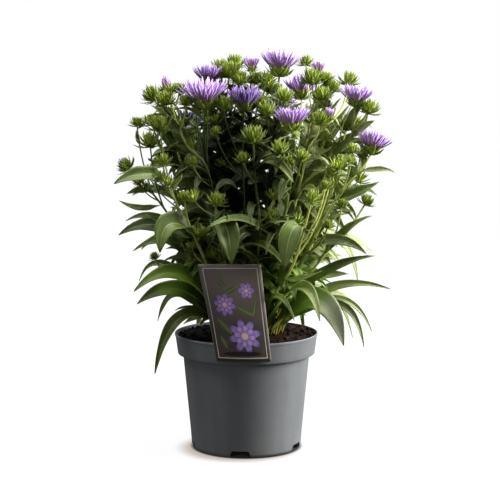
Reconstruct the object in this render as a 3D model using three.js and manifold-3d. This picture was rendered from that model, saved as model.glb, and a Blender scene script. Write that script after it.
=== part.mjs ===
// A potted Stokes' aster, about 520 mm high, in millimetres, +Z up.
// The pot's axis is the z axis and its foot stands on z = 0.
// +X is the right of the front view, and -Y faces the viewer.
import * as THREE from "three";
import { mergeVertices } from "three/addons/utils/BufferGeometryUtils.js";
import Module from "manifold-3d";

// Clearance that neighbouring pieces keep
const GAP = 0.3;

// Pot
const POT_HEIGHT = 154;
const RIM_RADIUS = 95;
const COLLAR_BOTTOM = 127;
const COLLAR_BOTTOM_RADIUS = 91;
const SHOULDER_RADIUS = 84;
const FOOT_RADIUS = 73;
const WALL = 1.3;
const RIM_WALL = 1.9;
const EDGE = 0.5;
const LIP_HEIGHT = 3;
const LIP_DEPTH = 0.7;
const SHELF = 0.6;
const FLOOR_HEIGHT = 6;
const FLOOR_CORNER = 5;
const CHANNEL_HEIGHT = 4.5;
const CHANNEL_SLOPE = 2;
const PAD_RADIUS = 30;
const PAD_FLOOR_HEIGHT = 1.7;
const CORNER_RADIUS = 6;
const FOOT_RING_WIDTH = 4;
const NOTCHES = 5;
const NOTCH_FIRST_DEGREES = -96;
const NOTCH_HEIGHT = 9.6;
const NOTCH_BOTTOM_WIDTH = 30;
const NOTCH_TOP_WIDTH = 22;
const NOTCH_DEPTH = 16;
const POT_SEGMENTS = 42;

// Soil and crown
const SOIL_LEVEL = 150;
const SOIL_SEGMENTS = 36;
const SOIL_BELOW_COLLAR = 2;
const CROWN_AT = new THREE.Vector3(6, -4, 0);
const CROWN_RADIUS = 45;
const CROWN_HEIGHT = 9;
const CROWN_SIDE = 2;
const CROWN_BEVEL = 1;
const CROWN_SEGMENTS = 24;
const CROWN_MARGIN = 3;
const CROWN_BOTTOM = SOIL_LEVEL + GAP;
const CROWN_TOP = CROWN_BOTTOM + CROWN_HEIGHT;
const FOOT_LEVEL = CROWN_TOP + GAP;

// Label card, hung on the front of the rim by a tongue behind it
const CARD_WIDTH = 80;
const CARD_FOOT_SHARE = 0.9;
const CARD_HEIGHT = 126;
const CARD_THICKNESS = 0.6;
const CARD_BOTTOM = 131;
const CARD_CENTRE_BOTTOM = -3;
const CARD_CENTRE_TOP = -21.5;
const CARD_LEAN = 9;
const CARD_RADIUS = RIM_RADIUS + 0.4 + CARD_THICKNESS / 2;
const TONGUE_WIDTH = 44;
const TONGUE_BOTTOM = 130;
const TONGUE_TOP = POT_HEIGHT + 0.5 + CARD_THICKNESS / 2;
const TONGUE_RADIUS = RIM_RADIUS - RIM_WALL - 3.6;
const SLOT_MARGIN = 2.5;
const SLOT_DEPTH = 8;
const SLOT_OUTWARD = 0.4;

// Plant
const STEM_RADIUS = 2.1;
const STEM_TIP_RADIUS = 1.2;
const BRANCH_RADIUS = 1.0;
const LEAF_THICKNESS = 1.6;
const BUD_SHARE = 0.45;
const CUP_LEAST = 5;
const CUP_SHARE = 0.2;
const BLOOM_UPRIGHT = 0.5;
const UPWARDS = new THREE.Vector3(0, 0, 1);

// The front view is taken from here. A point of the plant is written [across, up, depth]: across and up are
// where the line from the eye to it crosses the upright plane through the pot's axis, and depth is how far
// behind that plane it lies.
const EYE = new THREE.Vector3(5, -1920, 490);

function seen([across, up, depth]) {
  const far = (depth - EYE.y) / -EYE.y;
  return new THREE.Vector3(
    EYE.x + (across - EYE.x) * far,
    depth,
    EYE.z + (up - EYE.z) * far,
  );
}

// A green bud: its middle, its width over the bracts, and the share of the stem that its branch leaves from
const bud = (across, up, depth, size, from = 1) => ({
  kind: "bud",
  at: [across, up, depth],
  size,
  from,
});

// An open head: where the middle of its green cup is, the width of its petals, and its branch
const bloom = (name, across, up, depth, size, from = 1) => ({
  kind: "bloom",
  name,
  at: [across, up, depth],
  size,
  from,
});

// A stem leaf: the share of the stem that it leaves from, the point that it arches towards, its tip and width
const leaf = (from, over, tip, width) => ({ from, over, tip, width });

// Each shoot: its foot on the crown [x, y], the bends of its stem, its heads and its leaves.
// The first head ends the stem.
const SHOOTS = [
  {
    foot: [-24, -8],
    bends: [[-60, 235, -20], [-101, 308, -20], [-127, 343, -18]],
    heads: [
      bud(-157, 374, -14, 20),
      bud(-126, 405, -42, 26, 0.72),
      bud(-143, 430, -10, 16, 0.8),
    ],
    leaves: [
      leaf(0.84, [-140, 346, -24], [-157, 338, -26], 8),
      leaf(0.74, [-140, 312, -16], [-167, 329, -10], 9),
      leaf(0.6, [-128, 320, -36], [-159, 302, -40], 11),
      leaf(0.52, [-122, 316, 0], [-169, 283, 8], 20),
      leaf(0.4, [-112, 300, -34], [-139, 264, -44], 14),
    ],
  },
  {
    foot: [-13, -16],
    bends: [[-36, 290, -36], [-54, 376, -50], [-78, 402, -50], [-90, 428, -46]],
    heads: [bud(-102, 472, -34, 19), bud(-78, 458, -58, 17, 0.84), bud(-122, 465, -20, 24, 0.9)],
    leaves: [
      leaf(0.66, [-84, 356, -60], [-90, 394, -66], 9),
      leaf(0.45, [-30, 330, -66], [-44, 300, -70], 14),
    ],
  },
  {
    foot: [-20, -20],
    bends: [[-58, 262, -56], [-92, 325, -72], [-104, 352, -76]],
    heads: [bud(-110, 380, -80, 18), bud(-113, 427, -60, 26, 0.76)],
    leaves: [
      leaf(0.92, [-140, 372, -84], [-174, 351, -88], 20),
      leaf(0.55, [-112, 300, -78], [-134, 312, -84], 13),
    ],
  },
  {
    foot: [-7, -10],
    bends: [[-30, 270, -22], [-47, 336, -30], [-54, 400, -44]],
    heads: [
      bloom("flower_01", -55, 454, -56, 60),
      bloom("flower_02", -50, 483, 0, 38, 0.76),
      bud(-74, 418, -16, 15, 0.7),
    ],
    leaves: [leaf(0.5, [-60, 360, 4], [-92, 348, 18], 14), leaf(0.62, [-62, 380, -60], [-68, 338, -76], 12)],
  },
  {
    foot: [-8, 6],
    bends: [[-24, 300, 15], [-30, 420, 20]],
    heads: [bud(-32, 510, 25, 19), bud(-14, 510, 44, 19, 0.8)],
    leaves: [leaf(0.55, [-48, 400, 10], [-74, 372, 6], 13), leaf(0.42, [2, 348, 34], [30, 330, 48], 14)],
  },
  {
    foot: [-1, -18],
    bends: [[-2, 280, -34], [-4, 360, -40], [-5, 400, -48]],
    heads: [bloom("flower_03", -3, 451, -56, 46), bud(-30, 453, -62, 22, 0.78), bud(-40, 419, -76, 13, 0.7)],
    leaves: [
      leaf(0.6, [-28, 372, -64], [-42, 338, -82], 12),
      leaf(0.45, [-18, 318, -62], [-26, 284, -62], 13),
    ],
  },
  {
    foot: [7, -24],
    bends: [[18, 300, -70], [12, 352, -84], [10, 386, -92]],
    heads: [bud(9, 411, -96, 28), bud(-4, 383, -108, 17, 0.78)],
    leaves: [
      leaf(0.85, [22, 396, -104], [38, 388, -112], 11),
      leaf(0.66, [2, 334, -96], [6, 300, -108], 10),
    ],
  },
  {
    foot: [4, 4],
    bends: [[0, 320, 6], [4, 430, 12]],
    heads: [bloom("flower_04", 7, 500, 20, 26), bud(15, 458, -38, 24, 0.76), bud(28, 487, -14, 17, 0.84)],
    leaves: [leaf(0.58, [18, 410, 30], [44, 392, 44], 13)],
  },
  {
    foot: [13, -8],
    bends: [[26, 320, -12], [38, 430, -8]],
    heads: [bloom("flower_05", 43, 496, -5, 52), bud(50, 464, -38, 22, 0.8), bud(26, 446, -64, 21, 0.74)],
    leaves: [leaf(0.6, [52, 392, -34], [72, 360, -46], 12)],
  },
  {
    foot: [17, -20],
    bends: [[46, 290, -60], [58, 350, -74], [62, 385, -78]],
    heads: [bloom("flower_06", 60, 425, -78, 46), bud(44, 396, -108, 21, 0.76), bud(72, 386, -112, 18, 0.7)],
    leaves: [
      leaf(0.46, [-4, 326, -112], [-52, 292, -118], 17),
      leaf(0.74, [50, 350, -96], [42, 328, -104], 10),
    ],
  },
  {
    foot: [19, 3],
    bends: [[60, 330, 10], [80, 412, 10], [88, 452, 10]],
    heads: [
      bloom("flower_07", 93, 495, 10, 24),
      bud(78, 509, 44, 18, 0.86),
      bloom("flower_08", 72, 466, 62, 48, 0.7),
    ],
    leaves: [leaf(0.9, [104, 484, 2], [117, 493, -4], 9), leaf(0.55, [96, 372, 34], [120, 350, 50], 14)],
  },
  {
    foot: [24, -4],
    bends: [[66, 330, -16], [83, 398, -22], [98, 420, -18], [116, 438, -6], [126, 452, 4]],
    heads: [bud(134, 485, 14, 22), bloom("flower_09", 109, 438, -40, 16, 0.76), bud(99, 466, -28, 22, 0.8)],
    leaves: [leaf(0.7, [98, 382, -44], [112, 400, -54], 12), leaf(0.5, [80, 362, -56], [98, 330, -76], 12)],
  },
  {
    foot: [31, -3],
    bends: [[86, 320, -8], [116, 386, -12], [138, 416, -16]],
    heads: [bloom("flower_10", 143, 456, -20, 42), bud(143, 430, 26, 18, 0.82)],
    leaves: [
      leaf(0.78, [138, 398, -34], [140, 374, -44], 9),
      leaf(0.45, [136, 300, 22], [148, 221, 30], 14),
    ],
  },
  {
    foot: [32, -12],
    bends: [[82, 262, -34], [110, 318, -40], [128, 344, -42], [152, 370, -38]],
    heads: [bloom("flower_11", 163, 394, -32, 46), bud(140, 395, -62, 16, 0.76)],
    leaves: [
      leaf(0.72, [150, 336, -54], [175, 354, -60], 18),
      leaf(0.9, [184, 374, -40], [195, 366, -44], 8),
      leaf(0.3, [112, 232, -26], [136, 232, -30], 14),
    ],
  },
  {
    foot: [31, -22],
    bends: [[84, 232, -46], [116, 272, -52], [144, 304, -44]],
    heads: [bud(158, 327, -40, 18), bud(126, 324, -82, 14, 0.62)],
    leaves: [
      leaf(0.55, [138, 302, -80], [166, 309, -88], 17),
      leaf(0.3, [124, 252, -66], [171, 256, -70], 14),
    ],
  },
  {
    foot: [17, -32],
    bends: [[62, 244, -88], [77, 293, -108], [82, 312, -114]],
    heads: [bud(86, 331, -120, 19), bud(104, 348, -106, 13, 0.7), bud(112, 366, -92, 17, 0.62)],
    leaves: [
      leaf(0.8, [58, 316, -124], [50, 237, -128], 25),
      leaf(0.45, [76, 220, -112], [100, 236, -124], 13),
    ],
  },
  {
    foot: [25, -28],
    bends: [[74, 250, -66], [98, 306, -76], [114, 350, -74]],
    heads: [bud(124, 381, -70, 15), bud(108, 296, -104, 14, 0.5)],
    leaves: [leaf(0.56, [131, 288, -92], [159, 258, -100], 14)],
  },
  {
    foot: [-6, -32],
    bends: [[-24, 230, -58], [-36, 282, -82], [-41, 310, -92]],
    heads: [bud(-39, 328, -96, 20)],
    leaves: [leaf(0.84, [-22, 314, -112], [-20, 245, -116], 28)],
  },
  {
    foot: [-14, -28],
    bends: [[-50, 240, -70], [-66, 275, -84], [-77, 303, -90]],
    heads: [bud(-82, 332, -90, 17)],
    leaves: [leaf(0.78, [-112, 322, -100], [-114, 260, -112], 29)],
  },
  {
    foot: [-30, -8],
    bends: [[-66, 216, -12], [-96, 232, -18], [-114, 240, -22]],
    heads: [bud(-120, 256, -24, 20)],
    leaves: [],
  },
  {
    foot: [-19, 12],
    bends: [[-60, 300, 46], [-74, 390, 62]],
    heads: [
      bloom("flower_12", -76, 424, 66, 42),
      bud(-124, 432, 44, 20, 0.76),
      bud(-66, 434, 104, 20, 0.8),
      bud(-130, 366, 84, 18, 0.55),
    ],
    leaves: [
      leaf(0.45, [-110, 290, 92], [-150, 262, 108], 20),
      leaf(0.6, [-118, 360, 40], [-150, 336, 30], 15),
      leaf(0.35, [-70, 290, 96], [-86, 238, 130], 20),
    ],
  },
  {
    foot: [-5, 19],
    bends: [[-20, 300, 78], [-28, 410, 102]],
    heads: [
      bloom("flower_13", -30, 448, 110, 44),
      bud(-54, 440, 134, 20, 0.8),
      bud(-6, 438, 138, 18, 0.78),
      bud(-28, 376, 156, 18, 0.6),
    ],
    leaves: [
      leaf(0.42, [-34, 306, 132], [-44, 246, 160], 22),
      leaf(0.55, [-60, 360, 124], [-92, 330, 134], 16),
      leaf(0.5, [16, 340, 116], [34, 300, 136], 15),
    ],
  },
  {
    foot: [11, 19],
    bends: [[36, 300, 82], [42, 410, 106]],
    heads: [
      bloom("flower_14", 44, 444, 116, 46),
      bud(70, 440, 136, 20, 0.8),
      bud(26, 484, 84, 19, 0.84),
      bud(50, 384, 156, 18, 0.6),
    ],
    leaves: [
      leaf(0.4, [56, 296, 136], [74, 240, 156], 22),
      leaf(0.56, [84, 352, 128], [112, 316, 138], 16),
    ],
  },
  {
    foot: [24, 12],
    bends: [[70, 300, 60], [86, 366, 82]],
    heads: [
      bloom("flower_15", 90, 396, 96, 40),
      bud(134, 432, 60, 20, 0.78),
      bud(84, 424, 128, 20, 0.82),
      bud(126, 372, 108, 18, 0.58),
    ],
    leaves: [
      leaf(0.42, [126, 300, 92], [166, 262, 104], 22),
      leaf(0.6, [140, 368, 58], [172, 336, 52], 15),
    ],
  },
];

// Basal leaves: foot on the crown [x, y], the point that each arches towards, its tip, its width
const BASAL_LEAVES = [
  { foot: [-28, -22], over: [-98, 221, -64], tip: [-122, 97, -76], width: 17 },
  { foot: [-20, -32], over: [-82, 278, -66], tip: [-149, 208, -80], width: 30 },
  { foot: [-31, -15], over: [-86, 246, -50], tip: [-145, 191, -66], width: 28 },
  { foot: [-33, -3], over: [-116, 292, 6], tip: [-142, 222, 20], width: 14 },
  { foot: [41, -14], over: [106, 242, -16], tip: [192, 211, -10], width: 13 },
  { foot: [34, -30], over: [104, 250, -92], tip: [130, 135, -104], width: 35 },
  { foot: [41, -19], over: [140, 240, -62], tip: [157, 133, -72], width: 12 },
  { foot: [44, -7], over: [132, 240, 6], tip: [167, 155, 12], width: 11 },
  { foot: [43, 3], over: [110, 240, 40], tip: [156, 174, 62], width: 18 },
  { foot: [6, -42], over: [40, 244, -98], tip: [64, 168, -122], width: 10 },
  { foot: [23, -38], over: [80, 270, -112], tip: [98, 168, -128], width: 22 },
  { foot: [-27, 14], over: [-96, 250, 40], tip: [-118, 168, 60], width: 18 },
  { foot: [-15, 28], over: [-48, 276, 100], tip: [-66, 132, 146], width: 24 },
  { foot: [4, 34], over: [4, 262, 112], tip: [8, 148, 160], width: 25 },
  { foot: [22, 30], over: [58, 280, 100], tip: [78, 140, 140], width: 24 },
  { foot: [36, 18], over: [110, 262, 72], tip: [142, 146, 96], width: 22 },
];

const finish = (color, roughness) => new THREE.MeshStandardMaterial({ color, roughness, metalness: 0 });
const POT_PLASTIC = finish(0x565b61, 0.55);
const PEAT = finish(0x2b1d15, 0.95);
const CROWN_FIBRE = finish(0x8a7a3c, 0.85);
const CARD_PLASTIC = finish(0x3c3430, 0.4);
const FOLIAGE = finish(0x4d6a2c, 0.6);
const PETALS = finish(0xa784d6, 0.7);

const wasm = await Module();
wasm.setup();

// The solid of a closed geometry
function solidOf(geometry) {
  const bare = geometry.clone();
  bare.deleteAttribute("normal");
  bare.deleteAttribute("uv");
  const merged = mergeVertices(bare, 1e-3);
  return new wasm.Manifold(
    new wasm.Mesh({
      numProp: 3,
      vertProperties: new Float32Array(merged.attributes.position.array),
      triVerts: new Uint32Array(merged.index.array),
    }),
  );
}

// The geometry of a solid
function geometryOf(solid) {
  const mesh = solid.getMesh();
  const geometry = new THREE.BufferGeometry();
  geometry.setAttribute("position", new THREE.BufferAttribute(mesh.vertProperties, 3));
  geometry.setIndex(new THREE.BufferAttribute(mesh.triVerts, 1));
  geometry.computeVertexNormals();
  return geometry;
}

const join = (solids) => solids.reduce((whole, one) => whole.add(one));

// Moves every vertex of a geometry by a function of its place
function reshape(geometry, place) {
  const position = geometry.getAttribute("position");
  const point = new THREE.Vector3();
  for (let i = 0; i < position.count; i++) {
    place(point.fromBufferAttribute(position, i));
    position.setXYZ(i, point.x, point.y, point.z);
  }
  return geometry;
}

// A cylinder bent along a curve. breadth and depth give half its width and thickness at a share of its way.
function bent(curve, { sides, steps, breadth, depth, across }) {
  const column = new THREE.CylinderGeometry(1, 1, 1, sides, steps);
  const broadside = new THREE.Vector3();
  const flatside = new THREE.Vector3();
  return reshape(column, (point) => {
    const share = point.y + 0.5;
    const along = curve.getTangent(share);
    broadside.copy(across).addScaledVector(along, -across.dot(along)).normalize();
    flatside.crossVectors(broadside, along);
    const wide = point.x * breadth(share);
    const deep = point.z * depth(share);
    point.copy(curve.getPoint(share)).addScaledVector(broadside, wide).addScaledVector(flatside, deep);
  });
}

// A lathe shape about the z axis from [radius, height] pairs that close on the axis or on themselves
function turned(profile, segments) {
  const points = profile.map(([radius, height]) => new THREE.Vector2(radius, height));
  return new THREE.LatheGeometry(points, segments).rotateX(Math.PI / 2);
}

// The pot's wall: radius of its outer face at a height below the collar
function wallRadius(height) {
  return THREE.MathUtils.mapLinear(height, CORNER_RADIUS, COLLAR_BOTTOM, FOOT_RADIUS, SHOULDER_RADIUS);
}

// The inner radius of the collar at a height
function collarInside(height) {
  return THREE.MathUtils.mapLinear(
    height,
    COLLAR_BOTTOM,
    POT_HEIGHT,
    COLLAR_BOTTOM_RADIUS - WALL,
    RIM_RADIUS - RIM_WALL,
  );
}

function cornerPoints(radius, centreRadius, centreHeight) {
  return [-80, -55, -30, -8].map((degrees) => {
    const angle = THREE.MathUtils.degToRad(degrees);
    return [centreRadius + radius * Math.cos(angle), centreHeight + radius * Math.sin(angle)];
  });
}

function makePot() {
  const cornerCentre = FOOT_RADIUS - CORNER_RADIUS;
  const ringInside = cornerCentre - FOOT_RING_WIDTH;
  const floorCorner = FLOOR_HEIGHT + FLOOR_CORNER;
  const shell = turned(
    [
      [0, 0],
      [PAD_RADIUS, 0],
      [PAD_RADIUS + CHANNEL_SLOPE, CHANNEL_HEIGHT],
      [ringInside - CHANNEL_SLOPE, CHANNEL_HEIGHT],
      [ringInside, 0],
      ...cornerPoints(CORNER_RADIUS, cornerCentre, CORNER_RADIUS),
      [SHOULDER_RADIUS, COLLAR_BOTTOM - SHELF],
      [COLLAR_BOTTOM_RADIUS - EDGE, COLLAR_BOTTOM - SHELF],
      [COLLAR_BOTTOM_RADIUS, COLLAR_BOTTOM],
      [RIM_RADIUS - LIP_DEPTH, POT_HEIGHT - LIP_HEIGHT],
      [RIM_RADIUS, POT_HEIGHT - LIP_HEIGHT + LIP_DEPTH],
      [RIM_RADIUS, POT_HEIGHT - EDGE],
      [RIM_RADIUS - EDGE, POT_HEIGHT],
      [RIM_RADIUS - RIM_WALL, POT_HEIGHT],
      [collarInside(COLLAR_BOTTOM + WALL), COLLAR_BOTTOM + WALL],
      [SHOULDER_RADIUS - WALL, COLLAR_BOTTOM + SHELF],
      [wallRadius(floorCorner) - WALL, floorCorner],
      [cornerCentre, FLOOR_HEIGHT],
      [PAD_RADIUS - CHANNEL_SLOPE, FLOOR_HEIGHT],
      [PAD_RADIUS - 2 * CHANNEL_SLOPE, PAD_FLOOR_HEIGHT],
      [0, PAD_FLOOR_HEIGHT],
    ],
    POT_SEGMENTS,
  );
  const outline = new THREE.Shape([
    new THREE.Vector2(-NOTCH_BOTTOM_WIDTH / 2, -1),
    new THREE.Vector2(NOTCH_BOTTOM_WIDTH / 2, -1),
    new THREE.Vector2(NOTCH_TOP_WIDTH / 2, NOTCH_HEIGHT),
    new THREE.Vector2(-NOTCH_TOP_WIDTH / 2, NOTCH_HEIGHT),
  ]);
  let pot = solidOf(shell);
  for (let i = 0; i < NOTCHES; i++) {
    const turn = THREE.MathUtils.degToRad(NOTCH_FIRST_DEGREES + (i * 360) / NOTCHES + 90);
    const notch = new THREE.ExtrudeGeometry(outline, { depth: NOTCH_DEPTH, bevelEnabled: false });
    notch.rotateX(Math.PI / 2).translate(0, 1 - ringInside, 0).rotateZ(turn);
    pot = pot.subtract(solidOf(notch));
  }
  return pot;
}

// The height of the peat: flat under the crown, lower at the front, and nearly flush with the rim behind
function soilHeight(x, y) {
  const out = Math.hypot(x - CROWN_AT.x, y - CROWN_AT.y);
  const beyond = THREE.MathUtils.smoothstep(out, CROWN_RADIUS + CROWN_MARGIN, CROWN_RADIUS + 20);
  const lumps = 0.9 * Math.sin(x / 7 + 1) * Math.cos(y / 9) + 0.5 * Math.sin(x / 3.1 - y / 4.3);
  return SOIL_LEVEL + beyond * (lumps - 1 + y / 45 + x / 90);
}

function makeSoil() {
  const rimRadius = collarInside(SOIL_LEVEL - 4) - GAP;
  const rings = [0, 30, CROWN_RADIUS + CROWN_MARGIN, 60, 72, 83, rimRadius];
  const cornerHeight = FLOOR_HEIGHT + FLOOR_CORNER + 1;
  const shelfHeight = COLLAR_BOTTOM + SOIL_BELOW_COLLAR;
  const geometry = turned(
    [
      [0, FLOOR_HEIGHT + GAP],
      [wallRadius(FLOOR_HEIGHT) - 2 * CORNER_RADIUS, FLOOR_HEIGHT + GAP],
      [wallRadius(cornerHeight) - WALL - 2 * GAP, cornerHeight],
      [SHOULDER_RADIUS - WALL - 2 * GAP, shelfHeight - 1],
      [collarInside(shelfHeight) - 2 * GAP, shelfHeight],
      ...rings.reverse().map((radius) => [radius, SOIL_LEVEL]),
    ],
    SOIL_SEGMENTS,
  );
  reshape(geometry, (point) => {
    if (point.z === SOIL_LEVEL) point.z = soilHeight(point.x, point.y);
  });
  const slotHeight = 2 * (SOIL_LEVEL - TONGUE_BOTTOM);
  const slot = new THREE.BoxGeometry(TONGUE_WIDTH + 2 * SLOT_MARGIN, SLOT_DEPTH, slotHeight);
  slot.translate(
    CARD_CENTRE_BOTTOM,
    -TONGUE_RADIUS - SLOT_OUTWARD,
    TONGUE_BOTTOM - SLOT_MARGIN + slotHeight / 2,
  );
  return solidOf(geometry).subtract(solidOf(slot));
}

function makeCrown() {
  const geometry = turned(
    [
      [0, CROWN_BOTTOM],
      [CROWN_RADIUS - CROWN_BEVEL, CROWN_BOTTOM],
      [CROWN_RADIUS, CROWN_BOTTOM + CROWN_SIDE],
      [CROWN_RADIUS - CROWN_SIDE, CROWN_TOP - CROWN_BEVEL],
      [CROWN_RADIUS - 2 * CROWN_SIDE, CROWN_TOP],
      [0, CROWN_TOP],
    ],
    CROWN_SEGMENTS,
  );
  return solidOf(geometry.translate(CROWN_AT.x, CROWN_AT.y, 0));
}

// Where a point of the flat card goes: u across, v up from the lower edge, off outwards.
// The card narrows towards its foot.
// The lower part wraps the rim, and the rest straightens out, leans to the left and back.
function cardPoint(u, v, off, out) {
  const share = v / CARD_HEIGHT;
  const centre = THREE.MathUtils.lerp(CARD_CENTRE_BOTTOM, CARD_CENTRE_TOP, share);
  const aside = u * THREE.MathUtils.lerp(CARD_FOOT_SHARE, 1, share);
  const angle = (centre + aside) / CARD_RADIUS;
  const radius = CARD_RADIUS + off;
  const flat = THREE.MathUtils.smoothstep(v, 0.22 * CARD_HEIGHT, 0.95 * CARD_HEIGHT);
  const back = CARD_LEAN * flat;
  return out.set(
    THREE.MathUtils.lerp(radius * Math.sin(angle), centre + aside, flat),
    THREE.MathUtils.lerp(-radius * Math.cos(angle), -radius, flat) + back,
    CARD_BOTTOM + v * 0.99,
  );
}

// The tongue leaves the back of the card above the rim, crosses the rim and goes down behind it
function makeLabel() {
  const card = new THREE.BoxGeometry(CARD_WIDTH, CARD_HEIGHT, CARD_THICKNESS, 8, 8, 1);
  reshape(card, (point) => cardPoint(point.x, point.y + CARD_HEIGHT / 2, point.z, point));
  const overRim = CARD_RADIUS - TONGUE_RADIUS;
  const length = overRim + TONGUE_TOP - TONGUE_BOTTOM;
  const tongue = new THREE.BoxGeometry(TONGUE_WIDTH, length, CARD_THICKNESS, 4, 8, 1);
  reshape(tongue, (point) => {
    const run = point.y + length / 2;
    const angle = (point.x + CARD_CENTRE_BOTTOM) / CARD_RADIUS;
    const inward = Math.min(run, overRim);
    const below = Math.max(0, run - overRim);
    const corner = run > overRim ? 1 : 0;
    const radius = CARD_RADIUS - inward - corner * point.z;
    point.set(
      radius * Math.sin(angle),
      -radius * Math.cos(angle),
      TONGUE_TOP - below + (1 - corner) * point.z,
    );
  });
  return solidOf(card).add(solidOf(tongue));
}

// A level direction square to a curve's run, for its sections to be measured from
function crosswise(curve) {
  const run = curve.getPoint(1).sub(curve.getPoint(0));
  return new THREE.Vector3(-run.y, run.x, 0.01).normalize();
}

function stemSolid(curve, sides, steps, base, tip) {
  const radius = (share) => THREE.MathUtils.lerp(base, tip, share);
  return solidOf(bent(curve, { sides, steps, breadth: radius, depth: radius, across: crosswise(curve) }));
}

// Half the width of a lance-shaped leaf at a share of its length, for a full width of 1
function lance(share) {
  return 0.5 * (0.24 * (1 - share) + 0.96 * Math.sin(Math.PI * share ** 0.85) ** 1.25) + 0.012;
}

function leafSolid(base, over, tip, width, steps) {
  const curve = new THREE.QuadraticBezierCurve3(base, over, tip);
  const breadth = (share) => width * lance(share);
  const depth = (share) => (LEAF_THICKNESS / 2) * (1 - 0.7 * share);
  return solidOf(bent(curve, { sides: 4, steps, breadth, depth, across: crosswise(curve) }));
}

// The bracts of a bud as one faceted egg around a point
function budSolid(at, direction, size) {
  const wide = size * BUD_SHARE;
  const profile = [
    [0, -0.95],
    [0.62, -0.7],
    [1, -0.1],
    [0.7, 0.6],
    [0, 1],
  ];
  const points = profile.map(([radius, height]) => new THREE.Vector2(radius * wide, height * wide));
  const geometry = new THREE.LatheGeometry(points, 6);
  const turn = new THREE.Quaternion().setFromUnitVectors(new THREE.Vector3(0, 1, 0), direction);
  return solidOf(geometry.applyQuaternion(turn).translate(at.x, at.y, at.z));
}

// The radius of an open head's green cup
function cupRadius(size) {
  return Math.max(CUP_LEAST, CUP_SHARE * size);
}

// An open head: a green cup on the stem's end, flaring into a shallow dish of straps
function bloomSolid(at, direction, size) {
  const cup = cupRadius(size);
  const points = [
    [0, 0],
    [2.6, 0],
    [cup, 0.5 * cup],
    [cup * 0.95, 1.2 * cup],
    [0.5 * size, 1.2 * cup + 0.3 * size],
    [0.42 * size, 1.2 * cup + 0.34 * size],
    [0.12 * size, 1.2 * cup + 0.26 * size],
    [0, 1.2 * cup + 0.28 * size],
  ].map(([radius, height]) => new THREE.Vector2(radius, height));
  const geometry = new THREE.LatheGeometry(points, 10);
  const turn = new THREE.Quaternion().setFromUnitVectors(new THREE.Vector3(0, 1, 0), direction);
  return solidOf(geometry.applyQuaternion(turn).translate(at.x, at.y, at.z));
}

// An open head on a stem's end, turned upwards from the stem's run and clear of its slanting end
function bloomOn(end, run, size) {
  const direction = run.clone().lerp(UPWARDS, BLOOM_UPRIGHT).normalize();
  const lift = GAP + STEM_TIP_RADIUS * direction.angleTo(run);
  return bloomSolid(end.clone().addScaledVector(direction, lift), direction, size);
}

// The curve of a shoot's stem, upright where it leaves the crown
function stemCurve(shoot, end) {
  const [x, y] = shoot.foot;
  const foot = new THREE.Vector3(x, y, FOOT_LEVEL);
  const first = new THREE.Vector3(x * 1.05, y * 1.05, FOOT_LEVEL + 16);
  return new THREE.CatmullRomCurve3([foot, first, ...shoot.bends.map(seen), end], false, "centripetal");
}

// A side branch leaves the stem aslant and turns upwards to its head
function branchCurve(start, end) {
  const middle = new THREE.Vector3(
    THREE.MathUtils.lerp(start.x, end.x, 0.8),
    THREE.MathUtils.lerp(start.y, end.y, 0.8),
    THREE.MathUtils.lerp(start.z, end.z, 0.42),
  );
  return new THREE.QuadraticBezierCurve3(start, middle, end);
}

// Where a stem or branch ends under its head: an open head sits on the end, a bud is grown round it
function stemEnd(head) {
  const middle = seen(head.at);
  const drop = head.kind === "bloom" ? 0.5 * cupRadius(head.size) + GAP : 0;
  return middle.sub(new THREE.Vector3(0, 0, drop));
}

function makeShoot(shoot) {
  const stem = stemCurve(shoot, stemEnd(shoot.heads[0]));
  const solids = [stemSolid(stem, 5, 9, STEM_RADIUS, STEM_TIP_RADIUS)];
  const blooms = [];
  for (const head of shoot.heads) {
    const end = stemEnd(head);
    const curve = head.from === 1 ? stem : branchCurve(stem.getPointAt(head.from), end);
    if (head.from < 1) solids.push(stemSolid(curve, 4, 4, BRANCH_RADIUS, BRANCH_RADIUS));
    const run = curve.getTangent(1);
    if (head.kind === "bud") solids.push(budSolid(end, run, head.size));
    else blooms.push([head.name, bloomOn(end, run, head.size)]);
  }
  return { solid: join(solids), stem, blooms };
}

// A basal leaf's foot is raised by as much as its slanting end dips
function makeBasalLeaf({ foot, over, tip, width }) {
  const base = new THREE.Vector3(foot[0], foot[1], FOOT_LEVEL);
  const run = seen(over).sub(base).normalize();
  base.z += (LEAF_THICKNESS / 2) * Math.hypot(run.x, run.y);
  return leafSolid(base, seen(over), seen(tip), width, 7);
}

const plant = new THREE.Group();
const solids = new Map();
const materials = new Map();
const place = (name, solid, material) => {
  solids.set(name, solid);
  materials.set(name, material);
};
const numbered = (name, index) => `${name}_${String(index + 1).padStart(2, "0")}`;

place("pot", makePot(), POT_PLASTIC);
place("potting_soil", makeSoil(), PEAT);
place("root_crown", makeCrown(), CROWN_FIBRE);
place("plant_label", makeLabel(), CARD_PLASTIC);
const stems = SHOOTS.map((shoot, index) => {
  const { solid, stem, blooms } = makeShoot(shoot);
  place(numbered("shoot", index), solid, FOLIAGE);
  blooms.forEach(([name, bloomed]) => place(name, bloomed, PETALS));
  return stem;
});
BASAL_LEAVES.forEach((one, index) => place(numbered("basal_leaf", index), makeBasalLeaf(one), FOLIAGE));

// A stem leaf grows only where it is clear of every other piece
SHOOTS.forEach((shoot, index) => {
  const name = numbered("shoot", index);
  for (const { from, over, tip, width } of shoot.leaves) {
    const blade = leafSolid(stems[index].getPointAt(from), seen(over), seen(tip), width, 5);
    const others = [...solids].filter(([other]) => other !== name);
    const clear = others.every(([, solid]) => blade.minGap(solid, 1) >= GAP);
    if (clear) solids.set(name, solids.get(name).add(blade));
    else console.log(`${name}: a leaf is left out`);
  }
});

for (const [name, solid] of solids) {
  const mesh = new THREE.Mesh(geometryOf(solid), materials.get(name));
  mesh.name = name;
  plant.add(mesh);
}

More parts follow.
